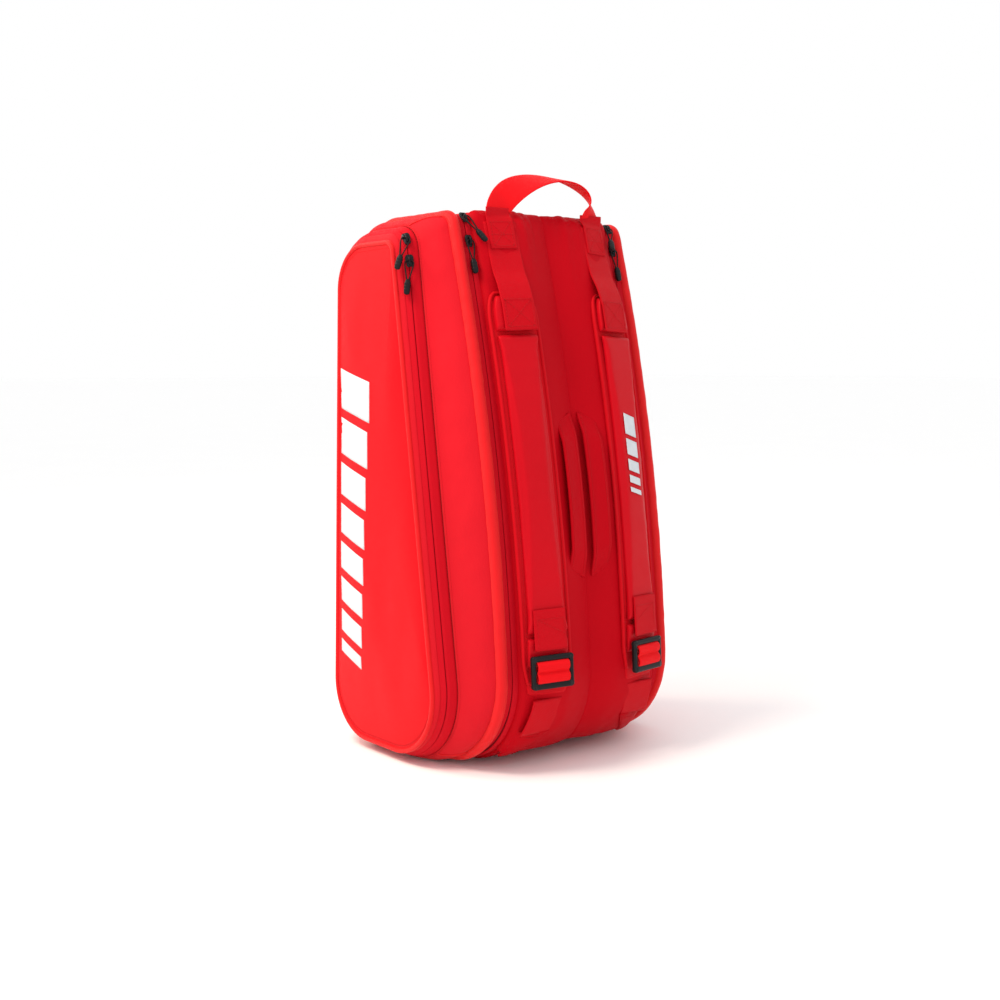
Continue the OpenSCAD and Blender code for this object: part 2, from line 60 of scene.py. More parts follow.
# front, back, lean of the back, radius of its bow, bottom, top,
# corner radii: front top, front bottom, back top, back bottom
BODY = (131, -106.3, 8.62, 2148, 0, 588, 60, 57, 18, 100)
COVER = (131, -106.3, 8.62, 2148, 3, 588, 60, 57, 18, 100)
POCKET = (126, -41.9, 8.25, 1e6, 6, 570, 55, 62, 25, 80)
PANEL = (117, -30.5, 8.25, 1e6, 12, 556, 48, 60, 12, 70)
# Points along each stretch of an outline, in order from the front bottom corner
COUNTS = (25, 100, 25, 36, 10, 120, 35, 30)
RING_N = sum(COUNTS)
START = dict(zip(("front_low", "front", "front_top", "top", "back_top", "back", "back_low", "bottom"),
                 np.concatenate([[0], np.cumsum(COUNTS)[:-1]])))
# Where the panels of the body meet
FRONT_BOTTOM = START["front_low"] + 15
FRONT_TOP = START["front_top"] + 10
BACK_TOP = START["back_top"] + 4
BACK_BOTTOM = START["back_low"] + 21

MAIN_SEAM_X = 102
POCKET_SEAM_X = 148
TAPE_X = 91
PIPING_X = 114.5
PIPING_R = 6.3
PANEL_X = 160
PANEL_CROWN = 5
SEAM_DEPTH = 4
BODY_GAP = 0.15


def unit(degrees):
    return np.array([math.cos(math.radians(degrees)), math.sin(math.radians(degrees))])


def unit_vector(v):
    return v / np.linalg.norm(v)


def bow_centre(o):
    return np.array([o[1] + o[3] * math.cos(math.radians(o[2])),
                     MID_Z - o[3] * math.sin(math.radians(o[2]))])


def front_corner(o, r, z):
    lean = math.radians(FRONT_LEAN)
    return np.array([o[0] - (r + (z - MID_Z) * math.sin(lean)) / math.cos(lean), z])


def back_corner(o, r, z):
    c = bow_centre(o)
    return np.array([c[0] - math.sqrt((o[3] - r) ** 2 - (z - c[1]) ** 2), z])


def bearing(v):
    return math.degrees(math.atan2(v[1], v[0])) % 360


def outline(o):
    """The closed outline's points (y, z) and its outward normals."""
    front_top, front_low = front_corner(o, o[6], o[5] - o[6]), front_corner(o, o[7], o[4] + o[7])
    back_top, back_low = back_corner(o, o[8], o[5] - o[8]), back_corner(o, o[9], o[4] + o[9])
    top_a, low_a = bearing(back_top - bow_centre(o)), bearing(back_low - bow_centre(o))
    arcs = {0: (front_low, o[7], -90, FRONT_LEAN), 2: (front_top, o[6], FRONT_LEAN, 90),
            4: (back_top, o[8], 90, top_a), 5: (bow_centre(o), o[3], top_a, low_a),
            6: (back_low, o[9], low_a, 270)}
    points, normals = [], []
    for k, n in enumerate(COUNTS):
        if k in arcs:
            c, r, a0, a1 = arcs[k]
            for i in range(n):
                normal = unit(a0 + (a1 - a0) * i / n)
                points.append(c + r * normal)
                normals.append(normal)
        else:
            before, after = arcs[k - 1], arcs[(k + 1) % len(COUNTS)]
            start = before[0] + before[1] * unit(before[3])
            end = after[0] + after[1] * unit(after[2])
            points += [start + (end - start) * i / n for i in range(n)]
            normals += [unit(before[3])] * n
    return np.array(points), np.array(normals)


OUTLINES = {o: outline(o) for o in (BODY, COVER, POCKET, PANEL)}


def ring(o, depth, x):
    """The outline at that depth below its full size, in the plane x."""
    points, normals = OUTLINES[o]
    flat = points - np.asarray(depth, float).reshape(-1, 1) * normals
    return np.column_stack([np.full(len(flat), float(x)), flat])


def span(i0, i1):
    return np.arange(i0, i1 + 1) % RING_N


ALONG = np.concatenate([[0], np.cumsum(np.linalg.norm(np.diff(OUTLINES[BODY][0], axis=0), axis=1))])


# ---------------------------------------------------------------- places on the back and the zips
BOW = bow_centre(BODY)
HEEL = back_corner(BODY, BODY[9], BODY[4] + BODY[9])
HEEL_Z = HEEL[1] + BODY[9] * math.sin(math.radians(bearing(HEEL - BOW)))
STRAP_TILT = math.radians(10)
STRAP_REST = 6.4
CREST_X = 61


def back_point(x, z, out):
    """A point across at x, at height z on the back, out from it."""
    c, r = (BOW, BODY[3]) if z > HEEL_Z else (HEEL, BODY[9])
    a = math.asin((z - c[1]) / r)
    return np.array([x, c[0] - (r + out) * math.cos(a), c[1] + (r + out) * math.sin(a)])


def strap_point(cx, z, across, up):
    """A point on a strap whose middle is at cx: across it and up from its underside."""
    reach = cx + across * math.cos(STRAP_TILT)
    rest = STRAP_REST - (reach - CREST_X) * math.tan(STRAP_TILT) + up * math.cos(STRAP_TILT)
    return back_point(reach + up * math.sin(STRAP_TILT), z, rest)


def pad_x(z):
    return 65.5 + 2.5 * (z - 88) / 412


def on_strap(z, up):
    """Place on a strap as a 4x4 matrix: x across, y up along it, z out."""
    a = math.asin((z - BOW[1]) / BODY[3])
    n = np.array([0, -math.cos(a), math.sin(a)])
    x = np.array([1, 0, 0])
    return place(math.cos(STRAP_TILT) * x - math.sin(STRAP_TILT) * n, (0, math.sin(a), math.cos(a)),
                 math.sin(STRAP_TILT) * x + math.cos(STRAP_TILT) * n, strap_point(pad_x(z), z, 0, up))


def place(x, y, z, origin):
    m = np.eye(4)
    m[:3, 0], m[:3, 1], m[:3, 2], m[:3, 3] = x, y, z, origin
    return m


def on_zip(x, c, r, a, tilt):
    """Place on a zip, turned about c in YZ at radius r and bearing a, tilted sideways."""
    out = np.array([0, *unit(a)])
    across = np.array([1, 0, 0])
    ct, st = math.cos(math.radians(tilt)), math.sin(math.radians(tilt))
    return place(ct * across - st * out, (0, out[2], -out[1]), st * across + ct * out,
                 np.array([x, *c]) + r * out)


def lower_bearing(o, z):
    return 180 - math.degrees(math.asin((z - bow_centre(o)[1]) / o[3]))


def slider_places():
    """Each slider's place. Per zip: outline, seam x, depth, upper bearing, lower height, sideways tilt."""
    places = {}
    for zip_name, o, x, depth, upper, lower_z, tilt in (("main", COVER, MAIN_SEAM_X, SEAM_DEPTH, 140, 556, 0),
                                                        ("pocket", POCKET, POCKET_SEAM_X, 0, 150, 535, 33)):
        corner = back_corner(o, o[8], o[5] - o[8])
        places[f"{zip_name}_slider_upper"] = on_zip(x, corner, o[8] - depth, upper, tilt)
        places[f"{zip_name}_slider_lower"] = on_zip(x, bow_centre(o), o[3] - depth,
                                                    lower_bearing(o, lower_z), tilt)
    return places


SLIDER_PLACES = slider_places()
# Sideways turn and inward bend of each pull, in degrees
PULL_TURNS = {"main_slider_upper": (-21, 3), "main_slider_lower": (0, 0),
              "pocket_slider_upper": (34, 14), "pocket_slider_lower": (10, 0)}


# ---------------------------------------------------------------- materials
class Nodes:
    """A material's node tree, with short calls for the nodes used here."""

    def __init__(self, name):
        self.material = bpy.data.materials.new(name)
        self.material.use_nodes = True
        self.tree = self.material.node_tree
        self.shader = self.tree.nodes["Principled BSDF"]

    def add(self, kind, **inputs):
        node = self.tree.nodes.new("ShaderNode" + kind)
        for key, value in inputs.items():
            if key in node.inputs.keys():
                self.put(node.inputs[key], value)
            else:
                setattr(node, key, value)
        return node

    def put(self, socket, value):
        if isinstance(value, bpy.types.NodeSocket):
            self.tree.links.new(value, socket)
        else:
            socket.default_value = value

    def math(self, operation, a, b=0.0):
        node = self.tree.nodes.new("ShaderNodeMath")
        node.operation = operation
        self.put(node.inputs[0], a)
        self.put(node.inputs[1], b)
        return node.outputs[0]

    def ramp(self, value, low, high):
        """value mapped from 0..1 to low..high."""
        node = self.add("MapRange", Value=value)
        node.inputs["To Min"].default_value = low
        node.inputs["To Max"].default_value = high
        return node.outputs["Result"]

    def mix(self, factor, a, b):
        node = self.tree.nodes.new("ShaderNodeMix")
        node.data_type = "RGBA"
        self.put(node.inputs["Factor"], factor)
        self.put(node.inputs["A"], a)
        self.put(node.inputs["B"], b)
        return node.outputs["Result"]

    def noise(self, vector, scale, detail=2.0):
        node = self.add("TexNoise", Vector=vector, Scale=scale, Detail=detail)
        return node.outputs["Fac"]

    def bump(self, height, distance, strength=1.0, normal=None):
        node = self.add("Bump", Height=height, Distance=distance, Strength=strength)
        if normal is not None:
            self.put(node.inputs["Normal"], normal)
        return node.outputs["Normal"]

    def where(self):
        return self.add("TexCoord").outputs["Object"]

    def cloth_uv(self):
        return self.add("UVMap", uv_map="Cloth").outputs["UV"]


def rgba(c, k=1.0):
    return (min(c[0] * k, 1), min(c[1] * k, 1), min(c[2] * k, 1), 1)


def woven(name, colour, thread, depth, rough, sheen, twill=0.0, grain=0.0, specular=0.4):
    """Woven cloth: crossing threads from the cloth map, soft colour drift, creases and fibre sheen."""
    m = Nodes(name)
    uv = m.cloth_uv()
    split = m.add("SeparateXYZ", Vector=uv)
    turns = 2 * math.pi / (thread * MM)
    u, v = split.outputs["X"], split.outputs["Y"]
    along = m.math("ADD", u, m.math("MULTIPLY", v, twill)) if twill else u
    warp = m.math("SINE", m.math("MULTIPLY", along, turns))
    weft = m.math("SINE", m.math("MULTIPLY", v, turns))
    cross = m.math("MULTIPLY", warp, weft)
    weave = m.math("MAXIMUM", m.math("MULTIPLY", cross, 0.5), m.math("MULTIPLY", warp, 0.28))
    drift = m.noise(m.where(), 9.0, 3.0)
    fine = m.noise(m.where(), 160.0, 3.0)
    base = m.mix(m.ramp(drift, 0.15, 0.85), rgba(colour, 0.86), rgba(colour, 1.06))
    thread_tone = m.mix(m.math("MULTIPLY", m.math("ADD", weave, 0.5), 0.22), base, rgba(colour, 0.55))
    m.put(m.shader.inputs["Base Color"], m.mix(m.ramp(fine, 0.0, 0.14), thread_tone, rgba(colour, 1.15)))
    m.put(m.shader.inputs["Roughness"], m.ramp(fine, rough - 0.07, rough + 0.09))
    m.shader.inputs["Specular IOR Level"].default_value = specular
    m.shader.inputs["Sheen Weight"].default_value = sheen
    m.shader.inputs["Sheen Roughness"].default_value = 0.45
    m.shader.inputs["Specular Tint"].default_value = (1.0, 0.72, 0.66, 1)
    m.shader.inputs["Sheen Tint"].default_value = (1.0, 0.5, 0.38, 1)
    normal = m.bump(weave, depth * MM)
    if grain:
        normal = m.bump(m.noise(m.where(), 420.0, 4.0), grain * MM, normal=normal)
    crease = m.noise(m.where(), 34.0, 5.0)
    m.put(m.shader.inputs["Normal"], m.bump(crease, 0.5 * MM, 0.6, normal))
    return m.material


def solid_finish(name, colour, rough, grain=0.03, scale=900.0, metal=0.0, worn=0.0):
    """Moulded or painted finish with a fine grain and slightly paler, polished wear."""
    m = Nodes(name)
    fine = m.noise(m.where(), scale, 3.0)
    patch = m.noise(m.where(), 120.0, 3.0)
    tone = m.mix(m.ramp(patch, 0.0, 0.35), rgba(colour), rgba(colour, 1.9))
    if worn:
        edge = m.add("NewGeometry").outputs["Pointiness"]
        band = m.add("MapRange", Value=edge)
        band.inputs["From Min"].default_value = 0.52
        band.inputs["From Max"].default_value = 0.62
        tone = m.mix(m.math("MULTIPLY", band.outputs["Result"], worn), tone, (0.05, 0.05, 0.053, 1))
    m.put(m.shader.inputs["Base Color"], tone)
    m.put(m.shader.inputs["Roughness"], m.ramp(patch, rough - 0.06, rough + 0.1))
    m.shader.inputs["Metallic"].default_value = metal
    m.shader.inputs["Specular IOR Level"].default_value = 0.16
    m.put(m.shader.inputs["Normal"], m.bump(fine, grain * MM))
    return m.material


MATERIALS = {
    # body: the bag's one red cloth darkened to stand for the shade that falls on the back: painted shade
    "body": woven("shaded_body_cloth", (0.50, 0.0016, 0.008), thread=0.7, depth=0.07, rough=0.5, sheen=0.0,
                  specular=0.05),
    "side": woven("side_cloth", (0.66, 0.005, 0.011), thread=0.55, depth=0.04, rough=0.42, sheen=0.04,
                  specular=0.06),
    "gusset": woven("gusset_cloth", (0.62, 0.008, 0.018), thread=1.0, depth=0.12, rough=0.62, sheen=0.10,
                    specular=0.08),
    "binding": woven("binding_cloth", (0.72, 0.012, 0.016), thread=0.6, depth=0.06, rough=0.45, sheen=0.10,
                     specular=0.12),
    "pad": woven("pad_cloth", (0.58, 0.0022, 0.010), thread=0.5, depth=0.035, rough=0.36, sheen=0.02,
                 grain=0.05, specular=0.11),
    "edge": woven("pad_edge_cloth", (0.60, 0.003, 0.010), thread=0.8, depth=0.08, rough=0.5, sheen=0.03,
                  specular=0.08),
    "webbing": woven("webbing_cloth", (0.82, 0.005, 0.010), thread=1.7, depth=0.28, rough=0.55,
                     sheen=0.03, twill=0.5, specular=0.08),
    # strap: the webbing's red darkened to stand for the shade over the back: painted shade
    "strap": woven("shaded_strap_webbing_cloth", (0.56, 0.002, 0.009), thread=1.7, depth=0.28, rough=0.5,
                   sheen=0.02, twill=0.5, specular=0.08),
    "tape": woven("tape_cloth", (0.58, 0.004, 0.014), thread=0.8, depth=0.12, rough=0.6, sheen=0.02,
                  specular=0.08),
    "coil": solid_finish("coil_nylon", (0.16, 0.002, 0.006), 0.35),
    "thread": woven("sewing_thread", (0.50, 0.004, 0.010), thread=0.35, depth=0.06, rough=0.5, sheen=0.05,
                    specular=0.2),
    "lining": woven("lining_cloth", (0.045, 0.046, 0.05), thread=1.4, depth=0.12, rough=0.75, sheen=0.1),
    "metal": solid_finish("painted_zinc", (0.010, 0.010, 0.012), 0.24, grain=0.01, metal=0.5, worn=0.5),
    "rubber": solid_finish("moulded_rubber", (0.006, 0.006, 0.007), 0.42, grain=0.05),
    "cord": woven("braided_cord", (0.008, 0.008, 0.010), thread=0.8, depth=0.12, rough=0.6, sheen=0.05,
                  twill=0.6, specular=0.2),
    "plastic": solid_finish("moulded_acetal", (0.006, 0.006, 0.007), 0.28, grain=0.02, worn=0.25),
    "board": solid_finish("stiff_board", (0.03, 0.03, 0.032), 0.6, grain=0.12, scale=300.0),
    "print": solid_finish("white_print", (0.52, 0.56, 0.60), 0.42, grain=0.03, scale=1500.0),
}


# ---------------------------------------------------------------- mesh building
def drift(points, scale, seed):
    """Smooth noise in -1..1 for each point; scale is the size of its features in mm, one or three numbers."""
    flat = (np.asarray(points, float).reshape(-1, 3) / scale) + seed * 17.3
    values = [sum(noise.noise(Vector(p) * 2 ** k) / 2 ** k for k in range(2)) for p in flat]
    return np.array(values).reshape(np.shape(points)[:-1])


def normals_of(grid, wrap):
    """Unit normals of a grid of points; the second direction may wrap round."""
    du = np.gradient(grid, axis=0)
    if wrap:
        dv = np.roll(grid, -1, axis=1) - np.roll(grid, 1, axis=1)
    else:
        dv = np.gradient(grid, axis=1)
    n = np.cross(dv, du)
    return n / np.maximum(np.linalg.norm(n, axis=2, keepdims=True), 1e-9)


def lengths(grid, axis, wrap=False):
    """Mean running length along one direction of a grid, one more entry if it wraps."""
    steps = np.linalg.norm(np.diff(grid, axis=axis), axis=2).mean(axis=1 - axis)
    if wrap:
        steps = np.append(steps, np.linalg.norm(grid[:, 0] - grid[:, -1], axis=1).mean())
    return np.concatenate([[0], np.cumsum(steps)])


def link_object(name, mesh):
    obj = bpy.data.objects.new(name, mesh)
    bpy.context.scene.collection.objects.link(obj)
    return obj


def make_object(name, vertices, faces, uvs, side=1):
    """An object from vertices in mm, its faces turned outwards. side -1 mirrors it to -X."""
    vertices = np.asarray(vertices, float) * [side * MM, MM, MM]
    if side < 0:
        faces = [f[::-1] for f in faces]
        uvs = [f[::-1] for f in uvs]
    mesh = bpy.data.meshes.new(name)
    mesh.from_pydata(vertices.tolist(), [], [list(f) for f in faces])
    layer = mesh.uv_layers.new(name="Cloth")
    flat = np.array([c for f in uvs for c in f], float) * MM
    layer.data.foreach_set("uv", flat.ravel())
    mesh.polygons.foreach_set("use_smooth", [True] * len(mesh.polygons))
    mesh.update()
    solid = bmesh.new()
    solid.from_mesh(mesh)
    if solid.calc_volume(signed=True) < 0:
        mesh.flip_normals()
    solid.free()
    return link_object(name, mesh)


def grid_faces(nu, nv, run_u, run_v, wrap_u=False, wrap_v=False):
    """Faces between neighbouring points of a grid, and their cloth map from the running lengths."""
    faces, uvs = [], []
    for i in range(nu if wrap_u else nu - 1):
        a, b = i * nv, (i + 1) % nu * nv
        for j in range(nv if wrap_v else nv - 1):
            k = (j + 1) % nv
            faces.append((a + j, a + k, b + k, b + j))
            uvs.append([(run_u[p], run_v[q]) for p, q in ((i, j), (i, j + 1), (i + 1, j + 1), (i + 1, j))])
    return faces, uvs


def sheet_mesh(name, grid, thickness, side=1, wrap=False):
    """A closed sheet: a grid of outer points and the same grid set in along its normals."""
    nu, nv = grid.shape[:2]
    inner = grid - normals_of(grid, wrap) * thickness
    base = nu * nv
    run_u, run_v = lengths(grid, 0), lengths(grid, 1, wrap)
    faces, uvs = grid_faces(nu, nv, run_u, run_v, wrap_v=wrap)
    faces += [tuple(base + q for q in f[::-1]) for f in faces]
    uvs += [uv[::-1] for uv in uvs]
    rim = [[(i, j) for j in range(nv)] for i in (0, nu - 1)]
    if not wrap:
        rim += [[(i, j) for i in range(nu)] for j in (0, nv - 1)]
    for line, flip in zip(rim, (False, True, True, False)):
        ends = line[1:] + line[:1] if wrap else line[1:]
        for a, b in zip(line, ends):
            p, q = a[0] * nv + a[1], b[0] * nv + b[1]
            quad = (p, base + p, base + q, q)
            u0, u1 = (run_u[a[0]], run_v[a[1]]), (run_u[b[0]], run_v[b[1]])
            uv = (u0, (u0[0] + 1, u0[1]), (u1[0] + 1, u1[1]), u1)
            faces.append(quad[::-1] if flip else quad)
            uvs.append(uv[::-1] if flip else uv)
    return make_object(name, np.concatenate([grid.reshape(-1, 3), inner.reshape(-1, 3)]), faces, uvs, side)


def tube_mesh(name, rings, side=1, closed=False):
    """A solid swept through rings of points; open ends are closed by a fan."""
    rings = np.asarray(rings, float)
    n, k = rings.shape[:2]
    run_u, run_v = lengths(rings, 0), lengths(rings, 1, True)
    if closed:
        run_u = np.append(run_u, run_u[-1] + np.linalg.norm(rings[0] - rings[-1], axis=1).mean())
    faces, uvs = grid_faces(n, k, run_u, run_v, closed, True)
    vertices = rings.reshape(-1, 3)
    if not closed:
        vertices = np.concatenate([vertices, [rings[0].mean(0), rings[-1].mean(0)]])
        for j in range(k):
            m = (j + 1) % k
            faces += [(n * k, m, j), (n * k + 1, (n - 1) * k + j, (n - 1) * k + m)]
            uvs += [((0, 0), (1, run_v[j + 1]), (1, run_v[j])), ((0, 0), (1, run_v[j]), (1, run_v[j + 1]))]
    return make_object(name, vertices, faces, uvs, side)


def superellipse(width, height, power, n):
    """Points round a rounded flat section."""
    points = []
    for i in range(n):
        c, s = unit(360 * (i + 0.5) / n)
        points.append((width / 2 * math.copysign(abs(c) ** (2 / power), c),
                       height / 2 * math.copysign(abs(s) ** (2 / power), s)))
    return np.array(points)


def round_rings(path, radius, k=10, up=(1, 0, 0), closed=False):
    """Rings of a round tube along a path."""
    path = np.asarray(path, float)
    tangent = np.roll(path, -1, 0) - np.roll(path, 1, 0) if closed else np.gradient(path, axis=0)
    tangent /= np.linalg.norm(tangent, axis=1, keepdims=True)
    side_way = np.cross(tangent, np.broadcast_to(np.asarray(up, float), tangent.shape))
    side_way /= np.maximum(np.linalg.norm(side_way, axis=1, keepdims=True), 1e-6)
    top_way = np.cross(side_way, tangent)
    angles = 2 * math.pi * np.arange(k) / k
    radius = np.broadcast_to(np.asarray(radius, float), (len(path),))[:, None, None]
    cosines, sines = np.cos(angles)[None, :, None], np.sin(angles)[None, :, None]
    return path[:, None] + radius * (cosines * side_way[:, None] + sines * top_way[:, None])


def bar_rings(path, section):
    """Rings of a flat bar along a path in the local YZ plane."""
    path = np.asarray(path, float)
    rings = []
    for p, t in zip(path, np.gradient(path, axis=0)):
        n = np.cross((1, 0, 0), unit_vector(t))
        rings.append([p + np.array([a, 0, 0]) + n * b for a, b in section])
    return rings


def moved(points, matrix):
    points = np.asarray(points, float)
    return points @ matrix[:3, :3].T + matrix[:3, 3]


def finish_piece(obj, material, body, replaces=(), smooth_levels=0, bend=None):
    """Material, smoothing, and the body a piece rides on; given bend, the piece rides on no body and its
    place is baked in.
    """
    obj.data.materials.clear()
    obj.data.materials.append(MATERIALS[material])
    if smooth_levels:
        sub = obj.modifiers.new("smooth", "SUBSURF")
        sub.levels = sub.render_levels = smooth_levels
    if bend:
        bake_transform(obj)
    else:
        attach(obj, body)
    if replaces:
        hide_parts(*replaces)
    return obj


def joined(name, objects):
    """Several mesh objects as one."""
    mesh = bpy.data.meshes.new(name)
    bm = bmesh.new()
    for o in objects:
        bm.from_mesh(o.data)
    bm.to_mesh(mesh)
    bm.free()
    mesh.polygons.foreach_set("use_smooth", [True] * len(mesh.polygons))
    for o in objects:
        bpy.data.objects.remove(o)
    return link_object(name, mesh)


def resample(path, values, pitch):
    """Points every pitch mm along a path, and the values read there."""
    run = np.concatenate([[0], np.cumsum(np.linalg.norm(np.diff(path, axis=0), axis=1))])
    n = max(int(run[-1] / pitch), 1)
    at = (np.arange(n) + 0.5) * run[-1] / n
    return [np.column_stack([np.interp(at, run, table[:, k]) for k in range(3)]) for table in (path, values)]


def beads(name, paths, pitch, bead, side):
    """Small solids every pitch mm along paths of (points, outward normals), as one object.

    bead(way, out) gives one solid's rings of points round its middle.
    """
    vertices, faces = [], []
    for points, out in paths:
        points = np.asarray(points, float)
        out = np.broadcast_to(np.asarray(out, float), points.shape)
        places, outs = resample(points, out, pitch)
        ways = np.gradient(places, axis=0) if len(places) > 1 else np.array([points[-1] - points[0]])
        for p, w, o in zip(places, ways, outs):
            rings = np.array(bead(unit_vector(w), unit_vector(o)))
            n, k = rings.shape[:2]
            base = len(vertices)
            vertices += list(p + rings.reshape(-1, 3))
            solid = grid_faces(n, k, range(n + 1), range(k + 1), wrap_v=True)[0]
            solid += [tuple(range(k))[::-1], tuple(range((n - 1) * k, n * k))]
            faces += [tuple(base + q for q in f) for f in solid]
    uvs = [((0, 0), (0, 0.3), (0.5, 0.3), (0.5, 0)) if len(f) == 4 else ((0, 0),) * len(f) for f in faces]
    return make_object(name, vertices, faces, uvs, side)


# A stitch's outline, as (share of its length, share of its radius)
STITCH_SHAPE = ((-0.5, 0.35), (-0.36, 0.9), (0, 1.0), (0.36, 0.9), (0.5, 0.35))


def stitches(name, paths, body, side=1, pitch=3.4, length=2.4, radius=0.34):
    """Rows of thread stitches lying along paths, as one piece."""
    def stitch(way, out):
        across = np.cross(way, out)
        return [[way * t * length + (across * c + out * q) * r * radius
                 for c, q in (unit(60 * j) for j in range(6))] for t, r in STITCH_SHAPE]

    return finish_piece(beads(name, paths, pitch, stitch, side), "thread", body)


def smoothstep(x):
    x = np.clip(x, 0, 1)
    return x * x * (3 - 2 * x)


def smoothed(values):
    """A run of values softened over five neighbours."""
    return np.convolve(np.pad(values, 2, mode="edge"), np.array([1, 2, 3, 2, 1]) / 9, mode="valid")


# ---------------------------------------------------------------- body panels
LOBE_H = 10
BACK_IN = 8


def lobe(x):
    """Height of a back lobe over the outline, across at x."""
    return -3 + LOBE_H * np.sin(np.pi * np.clip(x / TAPE_X, 0, 1))


def lobe_fade(along):
    """How much of a lobe stands at each station from the top seam to the bottom seam."""
    run = along - along[0]
    left = run[-1] - run
    return (0.1 + 0.9 * smoothstep(run / 22)) * (0.25 + 0.75 * smoothstep(left / 75))


def back_surface(side_name):
    """The padded back panel's outer grid: stations down the back by points across."""
    rows = span(BACK_TOP, BACK_BOTTOM)
    x = np.concatenate([[0.4, 0.4, 1.6], np.linspace(3.5, 87.5, 43), [89.6, TAPE_X - 0.3, TAPE_X - 0.2]])
    points, normals = (a[rows] for a in OUTLINES[BODY])
    fade = lobe_fade(ALONG[rows])
    h = lobe(x)[None, :] * fade[:, None]
    h[:, 0] -= 2.5  # tucked into the middle seam
    h[:, -1] -= 5.0  # turned down past the zip tape
    grid = np.empty((len(rows), len(x), 3))
    grid[..., 0] = x
    grid[..., 1:] = points[:, None] + normals[:, None] * h[..., None]
    run = (ALONG[rows] - ALONG[rows][0])[:, None]
    seed = 1 if side_name == "left" else 2
    inside = np.sin(np.pi * np.clip(x / TAPE_X, 0, 1))[None, :]
    gather = drift(grid, (9.0, 60.0, 60.0), seed) * np.exp(-run / 30) * 2.8
    slack = drift(grid, (34.0, 90.0, 80.0), seed + 4) * 0.9
    low_slack = drift(grid, (26.0, 30.0, 22.0), seed + 8) * np.exp(-(run[-1] - run) / 60) * 1.4
    lift = (gather + slack + low_slack) * inside
    pressed = (smoothstep((x - 38) / 8) * smoothstep((92 - x) / 3))[None, :]
    lift = lift * (1 - pressed) - np.abs(lift) * 0.5 * pressed
    grid[..., 1:] += normals[:, None] * lift[..., None]
    return grid


def back_panels():
    for name, side in SIDES.items():
        grid = back_surface(name)
        obj = sheet_mesh(f"back_panel_{name}_cloth", grid, 5.0, side)
        finish_piece(obj, "body", "root", (f"back_panel_{name}",), 1)
        n = normals_of(grid, False)
        edges = [(grid[4:-3, j] + 0.1 * n[4:-3, j], n[4:-3, j]) for j in (2, -4)]
        stitches(f"back_panel_{name}_stitches", edges, "root", side)


def strip_panel(name, node, i0, i1, half_x, material, puff, seed):
    """A panel between both zips: along part of the outline, with a little slack."""
    rows = span(i0, i1)
    x = np.concatenate([[0, 0.1, 0.6, 1.6], np.linspace(3, 2 * half_x - 3, 57),
                        2 * half_x - np.array([1.6, 0.6, 0.1, 0])]) - half_x
    turn = np.concatenate([[5.2, 2.6, 0.9, 0.2], np.zeros(57), [0.2, 0.9, 2.6, 5.2]])
    points, normals = (a[rows] for a in OUTLINES[BODY])
    along = np.linspace(0, 1, len(rows))[:, None]
    crown = puff * (1 - (x / half_x)[None, :] ** 4) * np.sin(np.pi * along) ** 0.5
    grid = np.empty((len(rows), len(x), 3))
    grid[..., 0] = -x
    grid[..., 1:] = points[:, None] + normals[:, None] * (crown - 0.6 - turn)[..., None]
    ripple = drift(grid, (45.0, 45.0, 60.0), seed) * 1.5 * (1 - (x / half_x)[None, :] ** 8)
    if puff == 0:
        ripple = -abs(ripple)
    grid[..., 1:] += normals[:, None] * (ripple * np.sin(np.pi * along) ** 0.5)[..., None]
    obj = sheet_mesh(name, grid, 3.0)
    return finish_piece(obj, material, "root", (node,), 1)


def body_panels():
    back_panels()
    strip_panel("top_panel_cloth", "top_panel", FRONT_TOP, BACK_TOP, TAPE_X - 0.3, "body", 1.2, 11)
    strip_panel("bottom_panel_cloth", "bottom_panel", BACK_BOTTOM, RING_N + FRONT_BOTTOM,
                TAPE_X - 0.3, "body", 0.0, 12)
    strip_panel("front_panel_cloth", "front_panel", FRONT_BOTTOM, FRONT_TOP,
                MAIN_SEAM_X - 0.3, "side", 1.8, 13)


def body_seams():
    """Bound seams between the body's panels."""
    for label, i in (("top_back", BACK_TOP), ("front_top", FRONT_TOP), ("back_bottom", BACK_BOTTOM),
                     ("front_bottom", FRONT_BOTTOM)):
        x = np.linspace(-TAPE_X + 1.5, TAPE_X - 1.5, 60)
        p, n = OUTLINES[BODY][0][i], OUTLINES[BODY][1][i]
        up = -0.6 if label in ("back_bottom", "front_bottom") else 0.1
        wave = drift(np.column_stack([x, np.full((60, 2), float(i))]), 30.0, 20) * 0.5
        path = np.column_stack([x, p[0] + n[0] * (up + wave), p[1] + n[1] * (up + wave)])
        obj = tube_mesh(f"body_seam_{label}", round_rings(path, 1.5, 10, (0, n[0], n[1])))
        finish_piece(obj, "binding", "root")


# ---------------------------------------------------------------- zips, bound edge and gussets
def folded_tape(seam_x, edge_x, depth, side_sign):
    """Tape profile from its sewn edge to the fold at the seam, as (x, depth)."""
    w = seam_x - edge_x
    return [(edge_x - side_sign * 5, depth + 1.4), (edge_x, depth), (edge_x + 0.3 * w, depth),
            (edge_x + 0.6 * w, depth - 0.1),
            (seam_x - side_sign * 1.6, depth - 0.25), (seam_x - side_sign * 0.6, depth + 0.15),
            (seam_x - side_sign * 0.1, depth + 1.0), (seam_x - side_sign * 0.25, depth + 1.8)]


